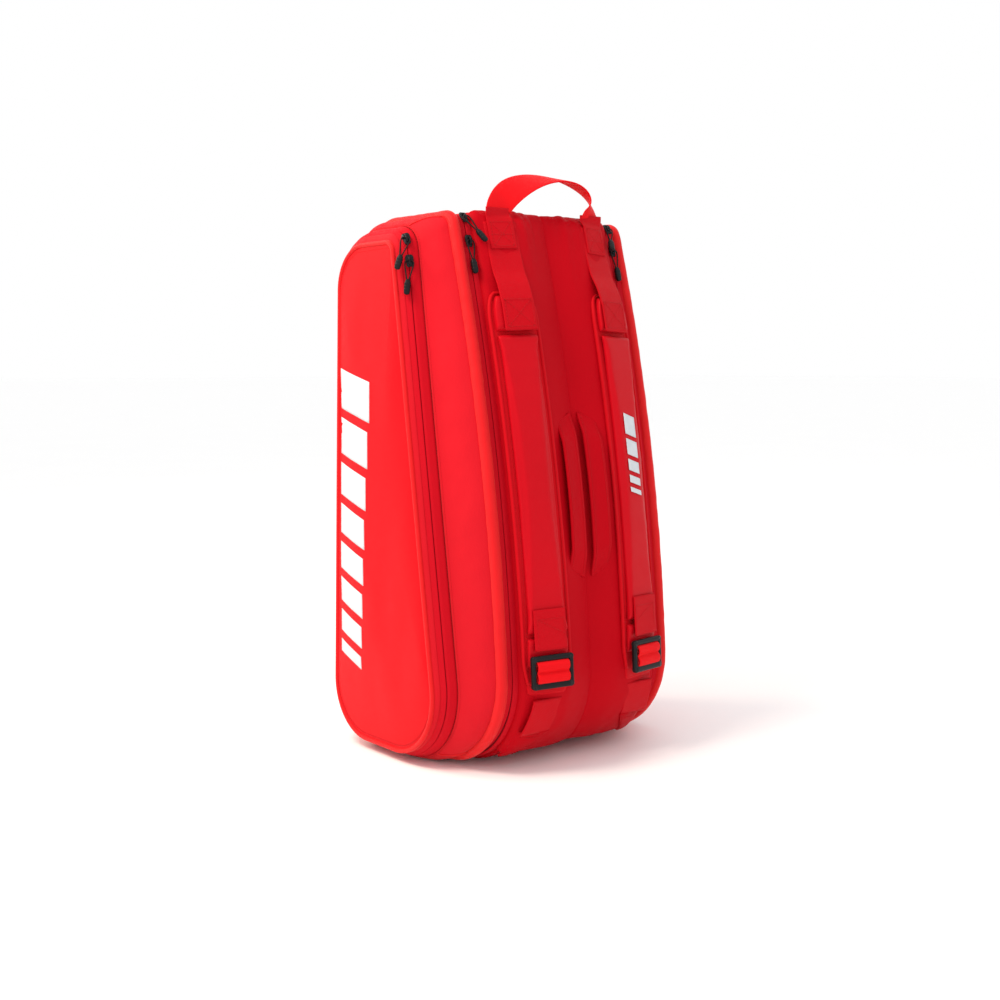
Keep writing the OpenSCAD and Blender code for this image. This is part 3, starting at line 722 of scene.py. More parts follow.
def main_tapes(name, side):
    """The main zip's tapes: the body's half on the root, the cover's half on the cover."""
    rows = span(FRONT_TOP, RING_N + FRONT_BOTTOM)
    halves = (
        ("body", folded_tape(MAIN_SEAM_X - BODY_GAP, TAPE_X - 0.3, SEAM_DEPTH, 1), BODY, "root"),
        ("cover", folded_tape(MAIN_SEAM_X + BODY_GAP, PIPING_X - PIPING_R + 1.5, SEAM_DEPTH, -1), COVER,
         f"{name}_cover"))
    for half, profile, o, body in halves:
        grid = np.array([ring(o, d, x)[rows] for x, d in profile])
        if half == "cover":
            grid = grid[::-1]
        obj = sheet_mesh(f"{name}_main_zip_{half}_tape_cloth", grid, 0.9, side)
        finish_piece(obj, "tape", body, (f"{name}_main_zip_{half}_tape",), 1)
        sign = 1 if half == "body" else -1
        seam = MAIN_SEAM_X - sign * BODY_GAP
        inset = sign * (7.0 if half == "body" else 3.4)
        lines = [(ring(o, SEAM_DEPTH - 0.2, seam - inset)[rows],
                  np.column_stack([np.zeros(len(rows)), OUTLINES[o][1][rows]]))]
        stitches(f"{name}_main_zip_{half}_stitches", lines, body, side, pitch=3.0, length=2.0, radius=0.25)
        coil(f"{name}_main_zip_{half}_coil", ring(o, SEAM_DEPTH + 2.6, seam - sign * 1.5)[rows],
             OUTLINES[o][1][rows], sign, body, side)


def coil(name, path, normals, sign, body, side):
    """The nylon coil sewn under a tape's fold: one small loop per tooth."""
    section = superellipse(3.0, 2.2, 2.6, 8)

    def tooth(way, out):
        return [[way * t + np.array([sign * a * taper, 0, 0]) + out * b for a, b in section]
                for t, taper in ((-0.85, 0.9), (0.85, 1))]

    out = np.column_stack([np.zeros(len(path)), normals])
    finish_piece(beads(name, [(path, out)], 2.6, tooth, side), "coil", body)


def loft(a, b, shares):
    """Rings between two rings."""
    shares = np.asarray(shares, float).reshape(-1, 1, 1)
    return a[None] * (1 - shares) + b[None] * shares


def sloped(a, b, shares, bulge, seed, slack):
    """A grid between two rings, pushed out by bulge and by soft slack wrinkles."""
    grid = loft(a, b, shares)
    n = normals_of(grid, True)
    middle = np.sin(np.pi * np.asarray(shares, float)).reshape(-1, 1)
    push = np.asarray(bulge, float).reshape(-1, 1) + drift(grid, (60.0, 30.0, 30.0), seed) * slack * middle
    return grid + n * push[..., None]


def cover(name, side):
    body = f"{name}_cover"
    seed = 30 if side < 0 else 50
    # bound edge: a soft round roll, pinched a little where it is sewn
    angles = np.radians(np.arange(0, 360, 22.5))
    rings = []
    for a in angles:
        depth = PIPING_R - 0.98 * PIPING_R * math.copysign(abs(math.sin(a)) ** 0.9, math.sin(a))
        rings.append(ring(COVER, depth, PIPING_X + 0.98 * PIPING_R * math.cos(a)))
    rings = np.array(rings)
    pinch = drift(rings, (40.0, 11.0, 11.0), seed) * 0.45
    centre = ring(COVER, PIPING_R, PIPING_X)[None]
    away = rings - centre
    rings = rings + away / np.linalg.norm(away, axis=2, keepdims=True) * pinch[..., None]
    obj = tube_mesh(f"{name}_cover_binding", np.swapaxes(rings, 0, 1), side, closed=True)
    finish_piece(obj, "binding", body, (f"{name}_cover_piping",), 1)

    # gusset between bound edge and pocket zip
    shares = np.linspace(0, 1, 13)
    bulge = 4.6 * np.sin(np.pi * shares ** 0.85) - 1.2 * np.exp(-shares * 9)
    a, b = ring(COVER, 7.5, 118.8), ring(POCKET, -3.6, 138.2)
    grid = sloped(a, b, shares, bulge, seed + 1, 1.1)
    obj = sheet_mesh(f"{name}_gusset_cloth", grid, 2.4, side, wrap=True)
    finish_piece(obj, "gusset", body, (f"{name}_gusset",), 1)
    n = normals_of(grid, True)
    stitches(f"{name}_gusset_stitches", [(grid[-2] + n[-2] * 0.1, n[-2])], body, side)

    # the gusset's cross seams, where its back piece meets the top and bottom pieces
    seams = []
    for i in (START["back_top"] + 2, START["back_low"] + 24, START["front_top"] + 12):
        path = grid[1:-1, i] + n[1:-1, i] * 0.25
        seams.append(tube_mesh("seam", round_rings(path, 0.75, 8, n[len(n) // 2, i]), side))
    finish_piece(joined(f"{name}_gusset_seams", seams), "binding", body)

    pocket_tape(name, side, "cover", [(135.6, -1.9), (137.8, -3.3), (139.2, -3.1), (141.5, -2.3),
                                      (144.5, -1.2), (146.3, -0.5), (147.3, 0.3), (147.8, 1.3),
                                      (147.6, 2.2)], body)


def pocket_tape(name, side, half, profile, body):
    grid = np.array([ring(POCKET, d, x) for x, d in profile])
    if half == "panel":
        grid = grid[::-1]
    obj = sheet_mesh(f"{name}_pocket_zip_{half}_tape_cloth", grid, 0.9, side, wrap=True)
    finish_piece(obj, "tape", body, (f"{name}_pocket_zip_{half}_tape",), 1)
    n = normals_of(grid, True)
    row = 1 if half == "cover" else -2
    stitches(f"{name}_pocket_zip_{half}_stitches", [(grid[row] + n[row] * 0.1, n[row])], body, side,
             pitch=3.0, length=2.0, radius=0.25)
    sign = 1 if half == "cover" else -1
    coil(f"{name}_pocket_zip_{half}_coil", ring(POCKET, 3.2, POCKET_SEAM_X - sign * 1.7),
         OUTLINES[POCKET][1], sign, body, side)


def pocket(name, side):
    body = f"{name}_pocket"
    seed = 70 if side < 0 else 90
    pocket_tape(name, side, "panel", [(155.6, 8.2), (153.8, 5.4), (152.2, 3.8), (150.6, 2.2), (149.5, 1.2),
                                      (148.7, 0.9), (148.25, 1.5), (148.4, 2.4)], body)
    shares = np.linspace(0, 1, 7)
    a, b = ring(POCKET, 4.6, 153.8), ring(PANEL, 0.6, 159.4)
    grid = sloped(a, b, shares, 0.8 * np.sin(np.pi * shares), seed, 0.5)
    obj = sheet_mesh(f"{name}_pocket_gusset_cloth", grid, 2.0, side, wrap=True)
    finish_piece(obj, "gusset", body, (f"{name}_pocket_gusset",), 1)
    # piping round the side panel
    obj = tube_mesh(f"{name}_side_piping", round_rings(ring(PANEL, 0.6, 159.6), 2.6, 12, (1, 0, 0), True),
                    side, closed=True)
    finish_piece(obj, "binding", body)
    side_panel(name, side, body, seed + 3)


PANEL_MID = np.array([18, 284])
PRINT_LIFT = 0.32


def panel_grid(shares):
    """Rings of the side panel from its edge inwards; share 1 is the edge."""
    edge = ring(PANEL, 0, PANEL_X)
    rings = []
    for s in shares:
        flat = PANEL_MID + s * (edge[:, 1:] - PANEL_MID)
        rings.append(np.column_stack([np.full(RING_N, PANEL_X + PANEL_CROWN * (1 - s ** 4)), flat]))
    return np.array(rings)


def panel_slack(points, seed):
    """How far the side panel's cloth stands off its smooth crown."""
    edge = 1 - np.clip(np.abs(points[..., 2] - PANEL_MID[1]) / 272, 0, 1) ** 6
    return drift(points, (60.0, 70.0, 150.0), seed) * 1.6 * edge


def side_panel(name, side, body, seed):
    shares = np.concatenate([[1, 0.99, 0.975], np.linspace(0.95, 0.03, 30)])
    grid = panel_grid(shares)
    grid[..., 0] += panel_slack(grid, seed) * (1 - shares.reshape(-1, 1) ** 12)
    obj = capped_sheet(f"{name}_side_panel_cloth", grid, 2.2, side)
    finish_piece(obj, "side", body, (f"{name}_side_panel",))
    stitches(f"{name}_side_panel_stitches", [(grid[2] + [0.15, 0, 0], (1, 0, 0))], body, side)
    side_graphic(name, side, body, seed)


def capped_sheet(name, grid, thickness, side):
    """A sheet of shrinking rings with its middle closed, given thickness along X."""
    nu, nv = grid.shape[:2]
    inner = grid - [thickness, 0, 0]
    base, mid = nu * nv, 2 * nu * nv
    faces = grid_faces(nu, nv, range(nu), range(nv + 1), wrap_v=True)[0]
    faces += [tuple(base + q for q in f[::-1]) for f in faces]
    for j in range(nv):
        k = (j + 1) % nv
        faces += [(j, base + j, base + k, k), (base - nv + j, base - nv + k, mid),
                  (mid - nv + k, mid - nv + j, mid + 1)]
    vertices = np.concatenate([grid.reshape(-1, 3), inner.reshape(-1, 3),
                               [grid[-1].mean(0), inner[-1].mean(0)]])
    uvs = [[(vertices[q][1], vertices[q][2]) for q in f] for f in faces]
    return make_object(name, vertices, faces, uvs, side)


def side_graphic(name, side, body, seed):
    """Plain slanted bars printed down the front half of the side panel, tapering in height."""
    gap, slant, z_top = 10, 15, 424
    bars = []
    z = z_top
    for height in (44, 40, 36, 33, 30, 27, 24, 14):
        share = (z_top - z) / 320
        bars.append(print_patch(107 + 3 * share, 44 + 24 * share, z, height, slant, side, seed))
        z -= height + gap
    finish_piece(joined(f"{name}_side_graphic", bars), "print", body)


def panel_x(y, z):
    """Height of the side panel's crown at a point, along the line from its middle to its edge."""
    edge = OUTLINES[PANEL][0] - PANEL_MID
    d = np.array([y, z]) - PANEL_MID
    r = np.linalg.norm(d)
    if r < 1e-6:
        return PANEL_X + PANEL_CROWN
    best = np.argmax((edge @ d) / (np.linalg.norm(edge, axis=1) * r))
    s = min(r / np.linalg.norm(edge[best]), 1)
    return PANEL_X + PANEL_CROWN * (1 - s ** 4)


def print_patch(y0, y1, z_top, height, slant, side, seed):
    """One printed bar, lying just over the side panel's cloth."""
    nu, nv = 13, 19
    grid = np.empty((nu, nv, 3))
    for i in range(nu):
        for j in range(nv):
            y = y0 + (y1 - y0) * j / (nv - 1)
            z = z_top - height * i / (nu - 1) - slant * j / (nv - 1)
            grid[i, j] = (panel_x(y, z), y, z)
    grid[..., 0] += panel_slack(grid, seed) + PRINT_LIFT
    return sheet_mesh("bar", grid, 0.5, side)


# ---------------------------------------------------------------- hinge cloth and linings
def hinge_cloth(name, side):
    """The cloth that folds at the front, where a cover and its pocket hang."""
    rows = span(FRONT_BOTTOM, FRONT_TOP)
    shares = np.linspace(0, 1, 9)
    lean = np.array([0, math.cos(math.radians(FRONT_LEAN)), math.sin(math.radians(FRONT_LEAN))])
    for label, o, x0, x1, d0, d1, parent, child, seam, y in (
            ("cover", COVER, 99.5, 109.5, 1.2, 3.2, "root", f"{name}_cover", MAIN_SEAM_X, COVER[0]),
            ("pocket", POCKET, 145.5, 150.5, 2.0, 3.0, f"{name}_cover", f"{name}_pocket", POCKET_SEAM_X,
             POCKET[0])):
        a, b = ring(o, d0, x0)[rows], ring(o, d1, x1)[rows]
        grid = loft(a, b, shares)
        grid = grid - lean * 0.9 * np.sin(np.pi * shares).reshape(-1, 1, 1)
        obj = sheet_mesh(f"{name}_{label}_hinge_cloth", grid, 0.8, side)
        start, end = (side * (seam - 4), y, MID_Z), (side * (seam + 4), y, MID_Z)
        finish_piece(obj, "tape", parent, bend=(child, start, end))


def lining_sheet(name, node, o, depth, x, body, seed, side=1):
    shares = np.concatenate([[1.0, 0.985], np.linspace(0.95, 0.03, 22)])
    edge = ring(o, depth, x)
    middle = edge.mean(0)
    grid = np.array([middle + s * (edge - middle) for s in shares])
    grid[..., 0] = x + drift(grid, (50.0, 55.0, 80.0), seed) * 0.9 * (1 - shares.reshape(-1, 1) ** 8)
    obj = capped_sheet(name, grid, 1.6, side)
    finish_piece(obj, "lining", body, (node,))
    rings = round_rings(edge - [0.8, 0, 0], 1.4, 8, (1, 0, 0), True)
    obj = tube_mesh(name + "_binding", rings, side, closed=True)
    finish_piece(obj, "lining", body)


def linings():
    lining_sheet("divider_cloth", "centre_divider", BODY, 10.6, 0.8, "root", 110)
    for name, side in SIDES.items():
        lining_sheet(f"{name}_wall_cloth", f"{name}_inner_wall", COVER, 11, 106.4, f"{name}_cover", 111, side)
    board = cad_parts["base_board"]
    board.data.materials.clear()
    board.data.materials.append(MATERIALS["board"])
    bevel = board.modifiers.new("edge", "BEVEL")
    bevel.width = 0.8 * MM
    bevel.segments = 2


# ---------------------------------------------------------------- straps
PAD_W = 58
PAD_T = 12
WEBBING_W = 38
WEBBING_T = 2
HANDLE_W = 30
HANDLE_FOOT = (66, -52, 588)
HANDLE_RISE = 41
HANDLE_SKEW = 20
LAY = PAD_T + 0.4
WEBBING_X = 65


def pad_outline_width(z):
    """Width of a pad at height z, round at its top and narrowing at its foot."""
    if z > 472:
        return PAD_W * (0.56 + 0.44 * math.sqrt(max(0.0, 1 - ((z - 472) / 29) ** 2)))
    if z < 125:
        return PAD_W * (0.80 + 0.20 * smoothstep((z - 88) / 37))
    return PAD_W


def pad_thickness(z):
    """Height of a pad's flange over its underside."""
    return 5.2 - 2.2 * smoothstep((z - 480) / 20) - 0.8 * smoothstep((120 - z) / 32)


SWELL_FRAMES = 20


def swell(obj, pressure, cap):
    """Cloth simulation: the closed mesh swells under pressure, then no point moves more than cap mm."""
    rest = np.array([v.co for v in obj.data.vertices])
    cloth = obj.modifiers.new("cloth", "CLOTH")
    cloth.settings.use_pressure = True
    cloth.settings.uniform_pressure_force = pressure
    cloth.settings.effector_weights.gravity = 0
    cloth.settings.quality = 6
    cloth.settings.tension_stiffness = 12
    cloth.settings.compression_stiffness = 8
    cloth.settings.bending_stiffness = 0.6
    cloth.point_cache.frame_start, cloth.point_cache.frame_end = 1, SWELL_FRAMES
    bpy.context.view_layer.objects.active = obj
    for f in range(1, SWELL_FRAMES + 1):
        bpy.context.scene.frame_set(f)
    bpy.ops.object.modifier_apply(modifier=cloth.name)
    bpy.context.scene.frame_set(1)
    now = np.array([v.co for v in obj.data.vertices])
    step = now - rest
    far = np.maximum(np.linalg.norm(step, axis=1, keepdims=True), 1e-9)
    now = rest + step * np.minimum(1, cap * MM / far)
    obj.data.vertices.foreach_set("co", now.astype(np.float32).ravel())
    obj.data.update()


FACE_W = 47
CUSHION_Z = (150, 457)
PATCH_Z = (460, 497)
FOOT_Z = (116, 147)


def pad_block(name, zs, height, side, taper=0.0):
    """A raised block on a pad, rounded at its ends; taper sinks its lower end."""
    z0, z1 = zs
    n = max(int((z1 - z0) / 4), 8)
    stations = np.unique(np.concatenate([np.linspace(z0, z0 + 6, 6), np.linspace(z0 + 6, z1 - 6, n),
                                         np.linspace(z1 - 6, z1, 6)]))[::-1]
    section = superellipse(1.0, 1.0, 5.0, 36)
    rings = []
    for z in stations:
        near = min(z - z0, z1 - z) / 6
        end = math.sqrt(max(0.0, 1 - (1 - min(near, 1)) ** 2))
        sunk = 1 - taper * (1 - (z - z0) / (z1 - z0))
        w, h = FACE_W * (0.93 + 0.07 * end), height * (0.25 + 0.75 * end) * sunk
        if z > 474:
            w *= pad_outline_width(z) / PAD_W
        rings.append([strap_point(pad_x(z), z, p[0] * w, 3.2 + (p[1] + 0.5) * h) for p in section])
    return tube_mesh(name, rings, side)


def pad(name, side):
    body = f"{name}_strap"
    seed = 130 if side < 0 else 150
    # flange: the thin foam base with its bound edge
    stations = np.concatenate([np.linspace(501, 472, 14), np.linspace(468, 125, 84),
                               np.linspace(121, 88, 10)])
    section = superellipse(1.0, 1.0, 3.4, 24)
    rings = [[strap_point(pad_x(z), z, p[0] * pad_outline_width(z), (p[1] + 0.5) * pad_thickness(z))
              for p in section] for z in stations]
    obj = tube_mesh(f"{name}_pad_base", rings, side)
    finish_piece(obj, "edge", body, (f"{name}_shoulder_pad",), 1)
    rim_z = np.concatenate([np.linspace(100, 472, 120), np.linspace(476, 500, 12)])
    left, right = ([strap_point(pad_x(z), z, s * (pad_outline_width(z) / 2 - 1.4), pad_thickness(z) * 0.75)
                    for z in rim_z] for s in (-1, 1))
    path = np.array(left + right[::-1])
    out = strap_point(65, 300, 0, 1) - strap_point(65, 300, 0, 0)
    obj = tube_mesh(f"{name}_pad_piping", round_rings(path, 2.1, 10, out), side)
    finish_piece(obj, "edge", body)
    # raised cushion
    obj = pad_block(f"{name}_pad_cushion", CUSHION_Z, 6.2, side)
    swell(obj, 4.0, 2.2)
    wrinkle_strap(obj, seed)
    finish_piece(obj, "pad", body, smooth_levels=1)
    strap_stitching(name, side, body)
    webbing_pieces(name, side, body)


def wrinkle_strap(obj, seed):
    """Soft creases across a cushion, pushed straight out from the back."""
    co = np.array([v.co for v in obj.data.vertices]) / MM
    push = drift(co, (80.0, 60.0, 16.0), seed) * 0.5 + drift(co, (40.0, 60.0, 70.0), seed + 1) * 0.6
    co[:, 1] += push
    obj.data.vertices.foreach_set("co", (co * MM).astype(np.float32).ravel())
    obj.data.update()


def raised_line(point, stations, lift):
    """A line at that height with its outward normals; point(station, height) gives a place."""
    on, above = (np.array([point(s, up) for s in stations]) for up in (lift, lift + 1))
    return on, above - on


def strap_line(points, lift):
    """A polyline of (across, z) on a strap at that height, with outward normals."""
    path = []
    for (a0, z0), (a1, z1) in zip(points, points[1:]):
        n = max(int(math.hypot(a1 - a0, z1 - z0) / 3), 1)
        path += [(a0 + (a1 - a0) * i / n, z0 + (z1 - z0) * i / n) for i in range(n)]
    path.append(points[-1])
    return raised_line(lambda at, up: strap_point(WEBBING_X, at[1], at[0], up), path, lift)


def box_stitch(z0, z1, half, lift, cross=True):
    """A sewn box across a strap, with its diagonals."""
    lines = [strap_line([(-half, z0), (half, z0), (half, z1), (-half, z1), (-half, z0)], lift)]
    if cross:
        lines += [strap_line([(-half, z0), (half, z1)], lift), strap_line([(-half, z1), (half, z0)], lift)]
    return lines


def strap_stitching(name, side, body):
    top = LAY + WEBBING_T + 0.1
    lines = box_stitch(463, 491, WEBBING_W / 2 - 3, top)
    lines += box_stitch(138, 166, WEBBING_W / 2 - 3, top, cross=False)
    lines.append(strap_line([(-WEBBING_W / 2 + 3, 150), (WEBBING_W / 2 - 3, 166)], top))
    flange = pad_thickness(300) + 0.15
    for s in (-1, 1):
        lines.append(strap_line([(s * 24.4, 480), (s * 24.4, 110)], flange))
    stitches(f"{name}_strap_stitches", lines, body, side)


def webbing_section(width):
    return superellipse(width, WEBBING_T, 7.0, 28)


def flat_webbing(name, stations, middle, side, body, replaces, bend=None):
    """Webbing over a strap through stations (height, height over the rest line), smoothed between them."""
    z_knots, up_knots = np.array(sorted(stations)).T
    zs = np.linspace(z_knots[-1], z_knots[0], max(int((z_knots[-1] - z_knots[0]) / 2.5), 8))
    ups = smoothed(np.interp(zs, z_knots, up_knots))
    section = webbing_section(WEBBING_W)
    rings = [[strap_point(middle, z, p[0], up + WEBBING_T / 2 + p[1]) for p in section]
             for z, up in zip(zs, ups)]
    return finish_piece(tube_mesh(name, rings, side), "strap", body, replaces, bend=bend)


def webbing_pieces(name, side, body):
    """Upper webbing with its patch, and the lower tab with its foot."""
    flat_webbing(f"{name}_upper_webbing_cloth",
                 [(575, 0.9), (545, 1.6), (522, 3.6), (507, 9), (496, LAY - 1.4), (488, LAY), (459, LAY)],
                 WEBBING_X, side, "root", (f"{name}_upper_webbing",),
                 bend=(body, (side * 68, -47, 574), (side * 68, -53, 556)))
    for label, heights, taper in (("patch", PATCH_Z, 0), ("foot", FOOT_Z, 0.5)):
        obj = pad_block(f"{name}_pad_{label}", heights, 8.2, side, taper)
        finish_piece(obj, "pad", body, smooth_levels=1)
    flat_webbing(f"{name}_lower_tab_cloth", [(176, LAY), (150, LAY), (134, LAY + 0.6)], pad_x(140), side,
                 body, (f"{name}_lower_tab",))


def buckle(name, side):
    """Ladder lock: rounded frame with three bars, and the webbing wrapped over the middle bar."""
    body = f"{name}_buckle"
    at = on_strap(112, 11.4)
    w, h, t = 50, 35, 5.4
    top_w, low_w, side_w = 6.0, 7.6, 5.2
    bars = [cross_bar(h / 2 - top_w / 2, top_w, t, w / 2 - 3, t / 2, at, side),
            cross_bar(low_w / 2 - h / 2, low_w, t, w / 2 - 3, t / 2 + 0.3, at, side),
            cross_bar(0, 3.6, 2.8, w / 2 - 4, 1.8, at, side)]
    for s in (-1, 1):
        section = superellipse(side_w, t, 2.8, 20)
        rings = [[(s * (w / 2 - side_w / 2) + a, y, t / 2 + b) for a, b in section]
                 for y in np.linspace(3 - h / 2, h / 2 - 3, 14)]
        bars.append(rings_to_solid(rings, at, side))
        for y, r in ((h / 2 - 3.4, 3.4), (3.8 - h / 2, 3.8)):
            radii = [(0.1, 0.78), (0.5, 0.95), (1.2, 1), (t - 1.2, 1), (t - 0.5, 0.95), (t - 0.1, 0.78)]
            rings = [[(s * (w / 2 - r) + r * k * c, y + r * k * q, z)
                      for c, q in (unit(d) for d in range(0, 360, 18))] for z, k in radii]
            bars.append(rings_to_solid(rings, at, side))
    obj = joined(f"{name}_buckle_moulding", bars)
    finish_piece(obj, "plastic", body, (f"{name}_buckle",))
    # webbing wrapped over the middle bar, with both legs going down through the windows
    rings = bar_rings(wrap_line(), superellipse(WEBBING_W, 1.8, 7.0, 24))
    obj = tube_mesh(f"{name}_buckle_webbing_cloth", moved(rings, at), side)
    finish_piece(obj, "webbing", body, (f"{name}_buckle_webbing",))


def cross_bar(y, width, thickness, reach, z, at, side):
    """A rounded bar across a buckle."""
    section = superellipse(width, thickness, 2.8, 20)
    rings = [[(x, y + a, z + b) for a, b in section] for x in np.linspace(-reach, reach, 20)]
    return rings_to_solid(rings, at, side)


def wrap_line():
    """Middle line of the webbing over the middle bar: a dip between two rolls."""
    half = [(11.4, -0.8), (11.3, 1.8), (10.8, 4.4), (9.0, 6.4), (6.0, 7.2), (3.0, 6.4), (1.4, 4.9),
            (0.6, 4.3)]
    knots = np.array([(-y, z) for y, z in half] + [(0, 4.2)] + half[::-1])
    n = 61
    fine = np.linspace(0, len(knots) - 1, n)
    line = [smoothed(np.interp(fine, np.arange(len(knots)), knots[:, k])) for k in (0, 1)]
    return np.column_stack([np.zeros(n), *line])


def rings_to_solid(rings, at, side):
    """A solid through rings given in a local place."""
    return tube_mesh("part", moved(rings, at), side)


def anchors(name, side):
    """Adjuster webbing and the wing it is sewn to, on the body."""
    # height, middle x and lift of the webbing
    rows = np.array([(48, 72, 8.4), (62, 69, 9), (74, 67, 9.4), (84, 66, 10)])
    section = webbing_section(WEBBING_W)
    rings = []
    for z in np.linspace(84, 48, 16):
        middle, up = (np.interp(z, rows[:, 0], rows[:, k]) for k in (1, 2))
        rings.append([back_point(middle + p[0], z, up + WEBBING_T / 2 + p[1]) for p in section])
    obj = tube_mesh(f"{name}_adjuster_cloth", rings, side)
    finish_piece(obj, "strap", "root", (f"{name}_adjuster_webbing",))
    # height, inner x, outer x and lift of the wing
    wing = np.array([(17, 80, 91.5, 2.6), (24, 74, 91, 4.8), (36, 62, 90, 6.8), (47, 53, 89, 8.2),
                     (49, 52, 89, 8.6)])

    def on_wing(z, share, lift):
        x0, x1, up = (np.interp(z, wing[:, 0], wing[:, k]) for k in (1, 2, 3))
        return back_point(x0 + (x1 - x0) * share, z, up + (1.6 - up) * share ** 3 + lift)

    rings = [[on_wing(z, p[0] + 0.5, 1.2 + p[1] * 2.4) for p in superellipse(1.0, 1.0, 6.0, 28)]
             for z in np.linspace(49, 17, 20)]
    obj = tube_mesh(f"{name}_wing_cloth", rings, side)
    finish_piece(obj, "body", "root", (f"{name}_anchor_wing",))
    lines = []
    for z0, z1, s0, s1 in ((46, 46, 0.08, 0.92), (43, 43, 0.08, 0.92), (46, 20, 0.08, 0.08)):
        lines.append(raised_line(lambda k, up: on_wing(z0 + (z1 - z0) * k, s0 + (s1 - s0) * k, up),
                                 np.linspace(0, 1, 16), 2.5))
    stitches(f"{name}_wing_stitches", lines, "root", side)


# ---------------------------------------------------------------- handles
def handle_frame(part):
    """Point, way across and way out of the handle's webbing at that part of its length."""
    a = math.pi * part
    rise = (math.sin(math.pi / 2 * part / 0.62) ** 1.2 if part < 0.62
            else math.sin(math.pi / 2 * (1 - part) / 0.38) ** 0.8)
    turn = math.radians(80) * rise
    p = np.array([HANDLE_SKEW * math.sin(a) - HANDLE_FOOT[0] * math.cos(a), HANDLE_FOOT[1] + 8 * math.sin(a),
                  HANDLE_FOOT[2] + HANDLE_RISE * math.sin(a)])
    t = unit_vector(np.array([HANDLE_FOOT[0] * math.sin(a) + HANDLE_SKEW * math.cos(a), 0,
                              HANDLE_RISE * math.cos(a)]))
    # both ends stand upright, where they go into their feet
    free = smoothstep(min(part, 1 - part) / 0.07)
    t = unit_vector(t * free + np.array([0, 0, math.copysign(1, 0.5 - part)]) * (1 - free))
    across = math.cos(turn) * np.array([-t[2], 0, t[0]]) + math.sin(turn) * np.array([0, 1, 0])
    return p, across, np.cross(t, across)


def top_handle():
    """Twisted loop of webbing, its feet sewn to the body's top edge."""
    section = webbing_section(HANDLE_W)
    rings = []
    for part in np.arange(97) / 96:
        p, across, out = handle_frame(part)
        rings.append([p + across * a + out * b for a, b in section])
    obj = tube_mesh("top_handle_webbing", rings)
    _, y, z = HANDLE_FOOT
    finish_piece(obj, "webbing", "root", ("top_handle",),
                 bend=("top_handle", (0, y, z), (0, y, z + 8)))
    for name, side in SIDES.items():
        foot(name, side)


def foot(name, side):
    """The handle's sewn foot over the body's top edge, with its box stitch."""
    rings = []
    for z in np.linspace(592, 546, 24):
        lie = smoothstep((588 - z) / 12)
        row = []
        for a, b in superellipse(HANDLE_W + 1, 1.8, 7.0, 28):
            upright = np.array([66 + a, -52.4 + b, z])
            row.append(upright * (1 - lie) + strap_point(WEBBING_X, z, a, 3.9 - b) * lie)
        rings.append(row)
    obj = tube_mesh(f"{name}_handle_foot", rings, side)
    finish_piece(obj, "strap", "root")
    lines = box_stitch(549, 574, HANDLE_W / 2 - 3, 4.9)
    lines.append(strap_line([(-HANDLE_W / 2 + 1, 561), (HANDLE_W / 2 - 1, 561)], 4.9))
    stitches(f"{name}_foot_stitches", lines, "root", side)


GRIP_X = (4.8, 28.2)
GRIP_Z = (201, 377)
GRIP_SLANT = 12
GRIP_T = 4


def grip_lift(x, share):
    """Height of a grip's underside over the outline: it lies on the lobe and bows away in its middle."""
    bow = 5.5 * smoothstep(min(share, 1 - share) / 0.16) + 2.5 * math.sin(math.pi * share)
    return max(lobe(x), 1.5) + 1.6 + bow


def carry_grip(name, side):
    """Padded grip with slanted ends that lifts off the back."""
    body = f"{name}_grip"

    def on_grip(share, s, lift):
        top, low = GRIP_Z[1] - GRIP_SLANT * share, GRIP_Z[0] + GRIP_SLANT * share
        x = GRIP_X[0] + (GRIP_X[1] - GRIP_X[0]) * share
        return back_point(x, top + (low - top) * s, grip_lift(x, s) + lift)

    rows = [[on_grip(p[0] + 0.5, s, (0.5 + p[1]) * GRIP_T) for p in superellipse(1.0, 1.0, 4.0, 24)]
            for s in np.linspace(0, 1, 64)]
    obj = tube_mesh(f"{name}_carry_grip_cloth", rows, side)
    finish_piece(obj, "body", body, (f"{name}_carry_grip",), 1)
    lines = [raised_line(lambda s, up: on_grip(share, s, up), np.linspace(0.02, 0.98, 50), GRIP_T)
             for share in (0.14, 0.86)]
    stitches(f"{name}_carry_grip_stitches", lines, body, side)


# ---------------------------------------------------------------- zip sliders and pulls
def extruded(name, points, z0, z1, at, side, edge=0.5):
    """A flat outline extruded along local z with rounded edges, as a mesh object."""
    points = np.asarray(points, float)
    centre = points.mean(0)
    steps = [(z0, -edge), (z0 + edge * 0.3, -edge * 0.3), (z0 + edge, 0), (z1 - edge, 0),
             (z1 - edge * 0.3, -edge * 0.3), (z1, -edge)]
    rings = []
    for z, inset in steps:
        away = points - centre
        r = np.linalg.norm(away, axis=1, keepdims=True)
        flat = centre + away * (r + inset) / r
        rings.append([(p[0], p[1], z) for p in flat])
    return tube_mesh(name, moved(rings, at), side)


def slider_shape(w, length):
    """Outline of a slider: broad shoulders at the head, a narrower tail."""
    half = [(0.0, 0.5), (0.26, 0.5), (0.42, 0.42), (0.5, 0.26), (0.5, 0.05), (0.4, -0.2), (0.38, -0.38),
            (0.28, -0.5), (0.0, -0.46)]
    points = [(x * w, y * length) for x, y in half] + [(-x * w, y * length) for x, y in half[-2:0:-1]]
    return points[::-1]


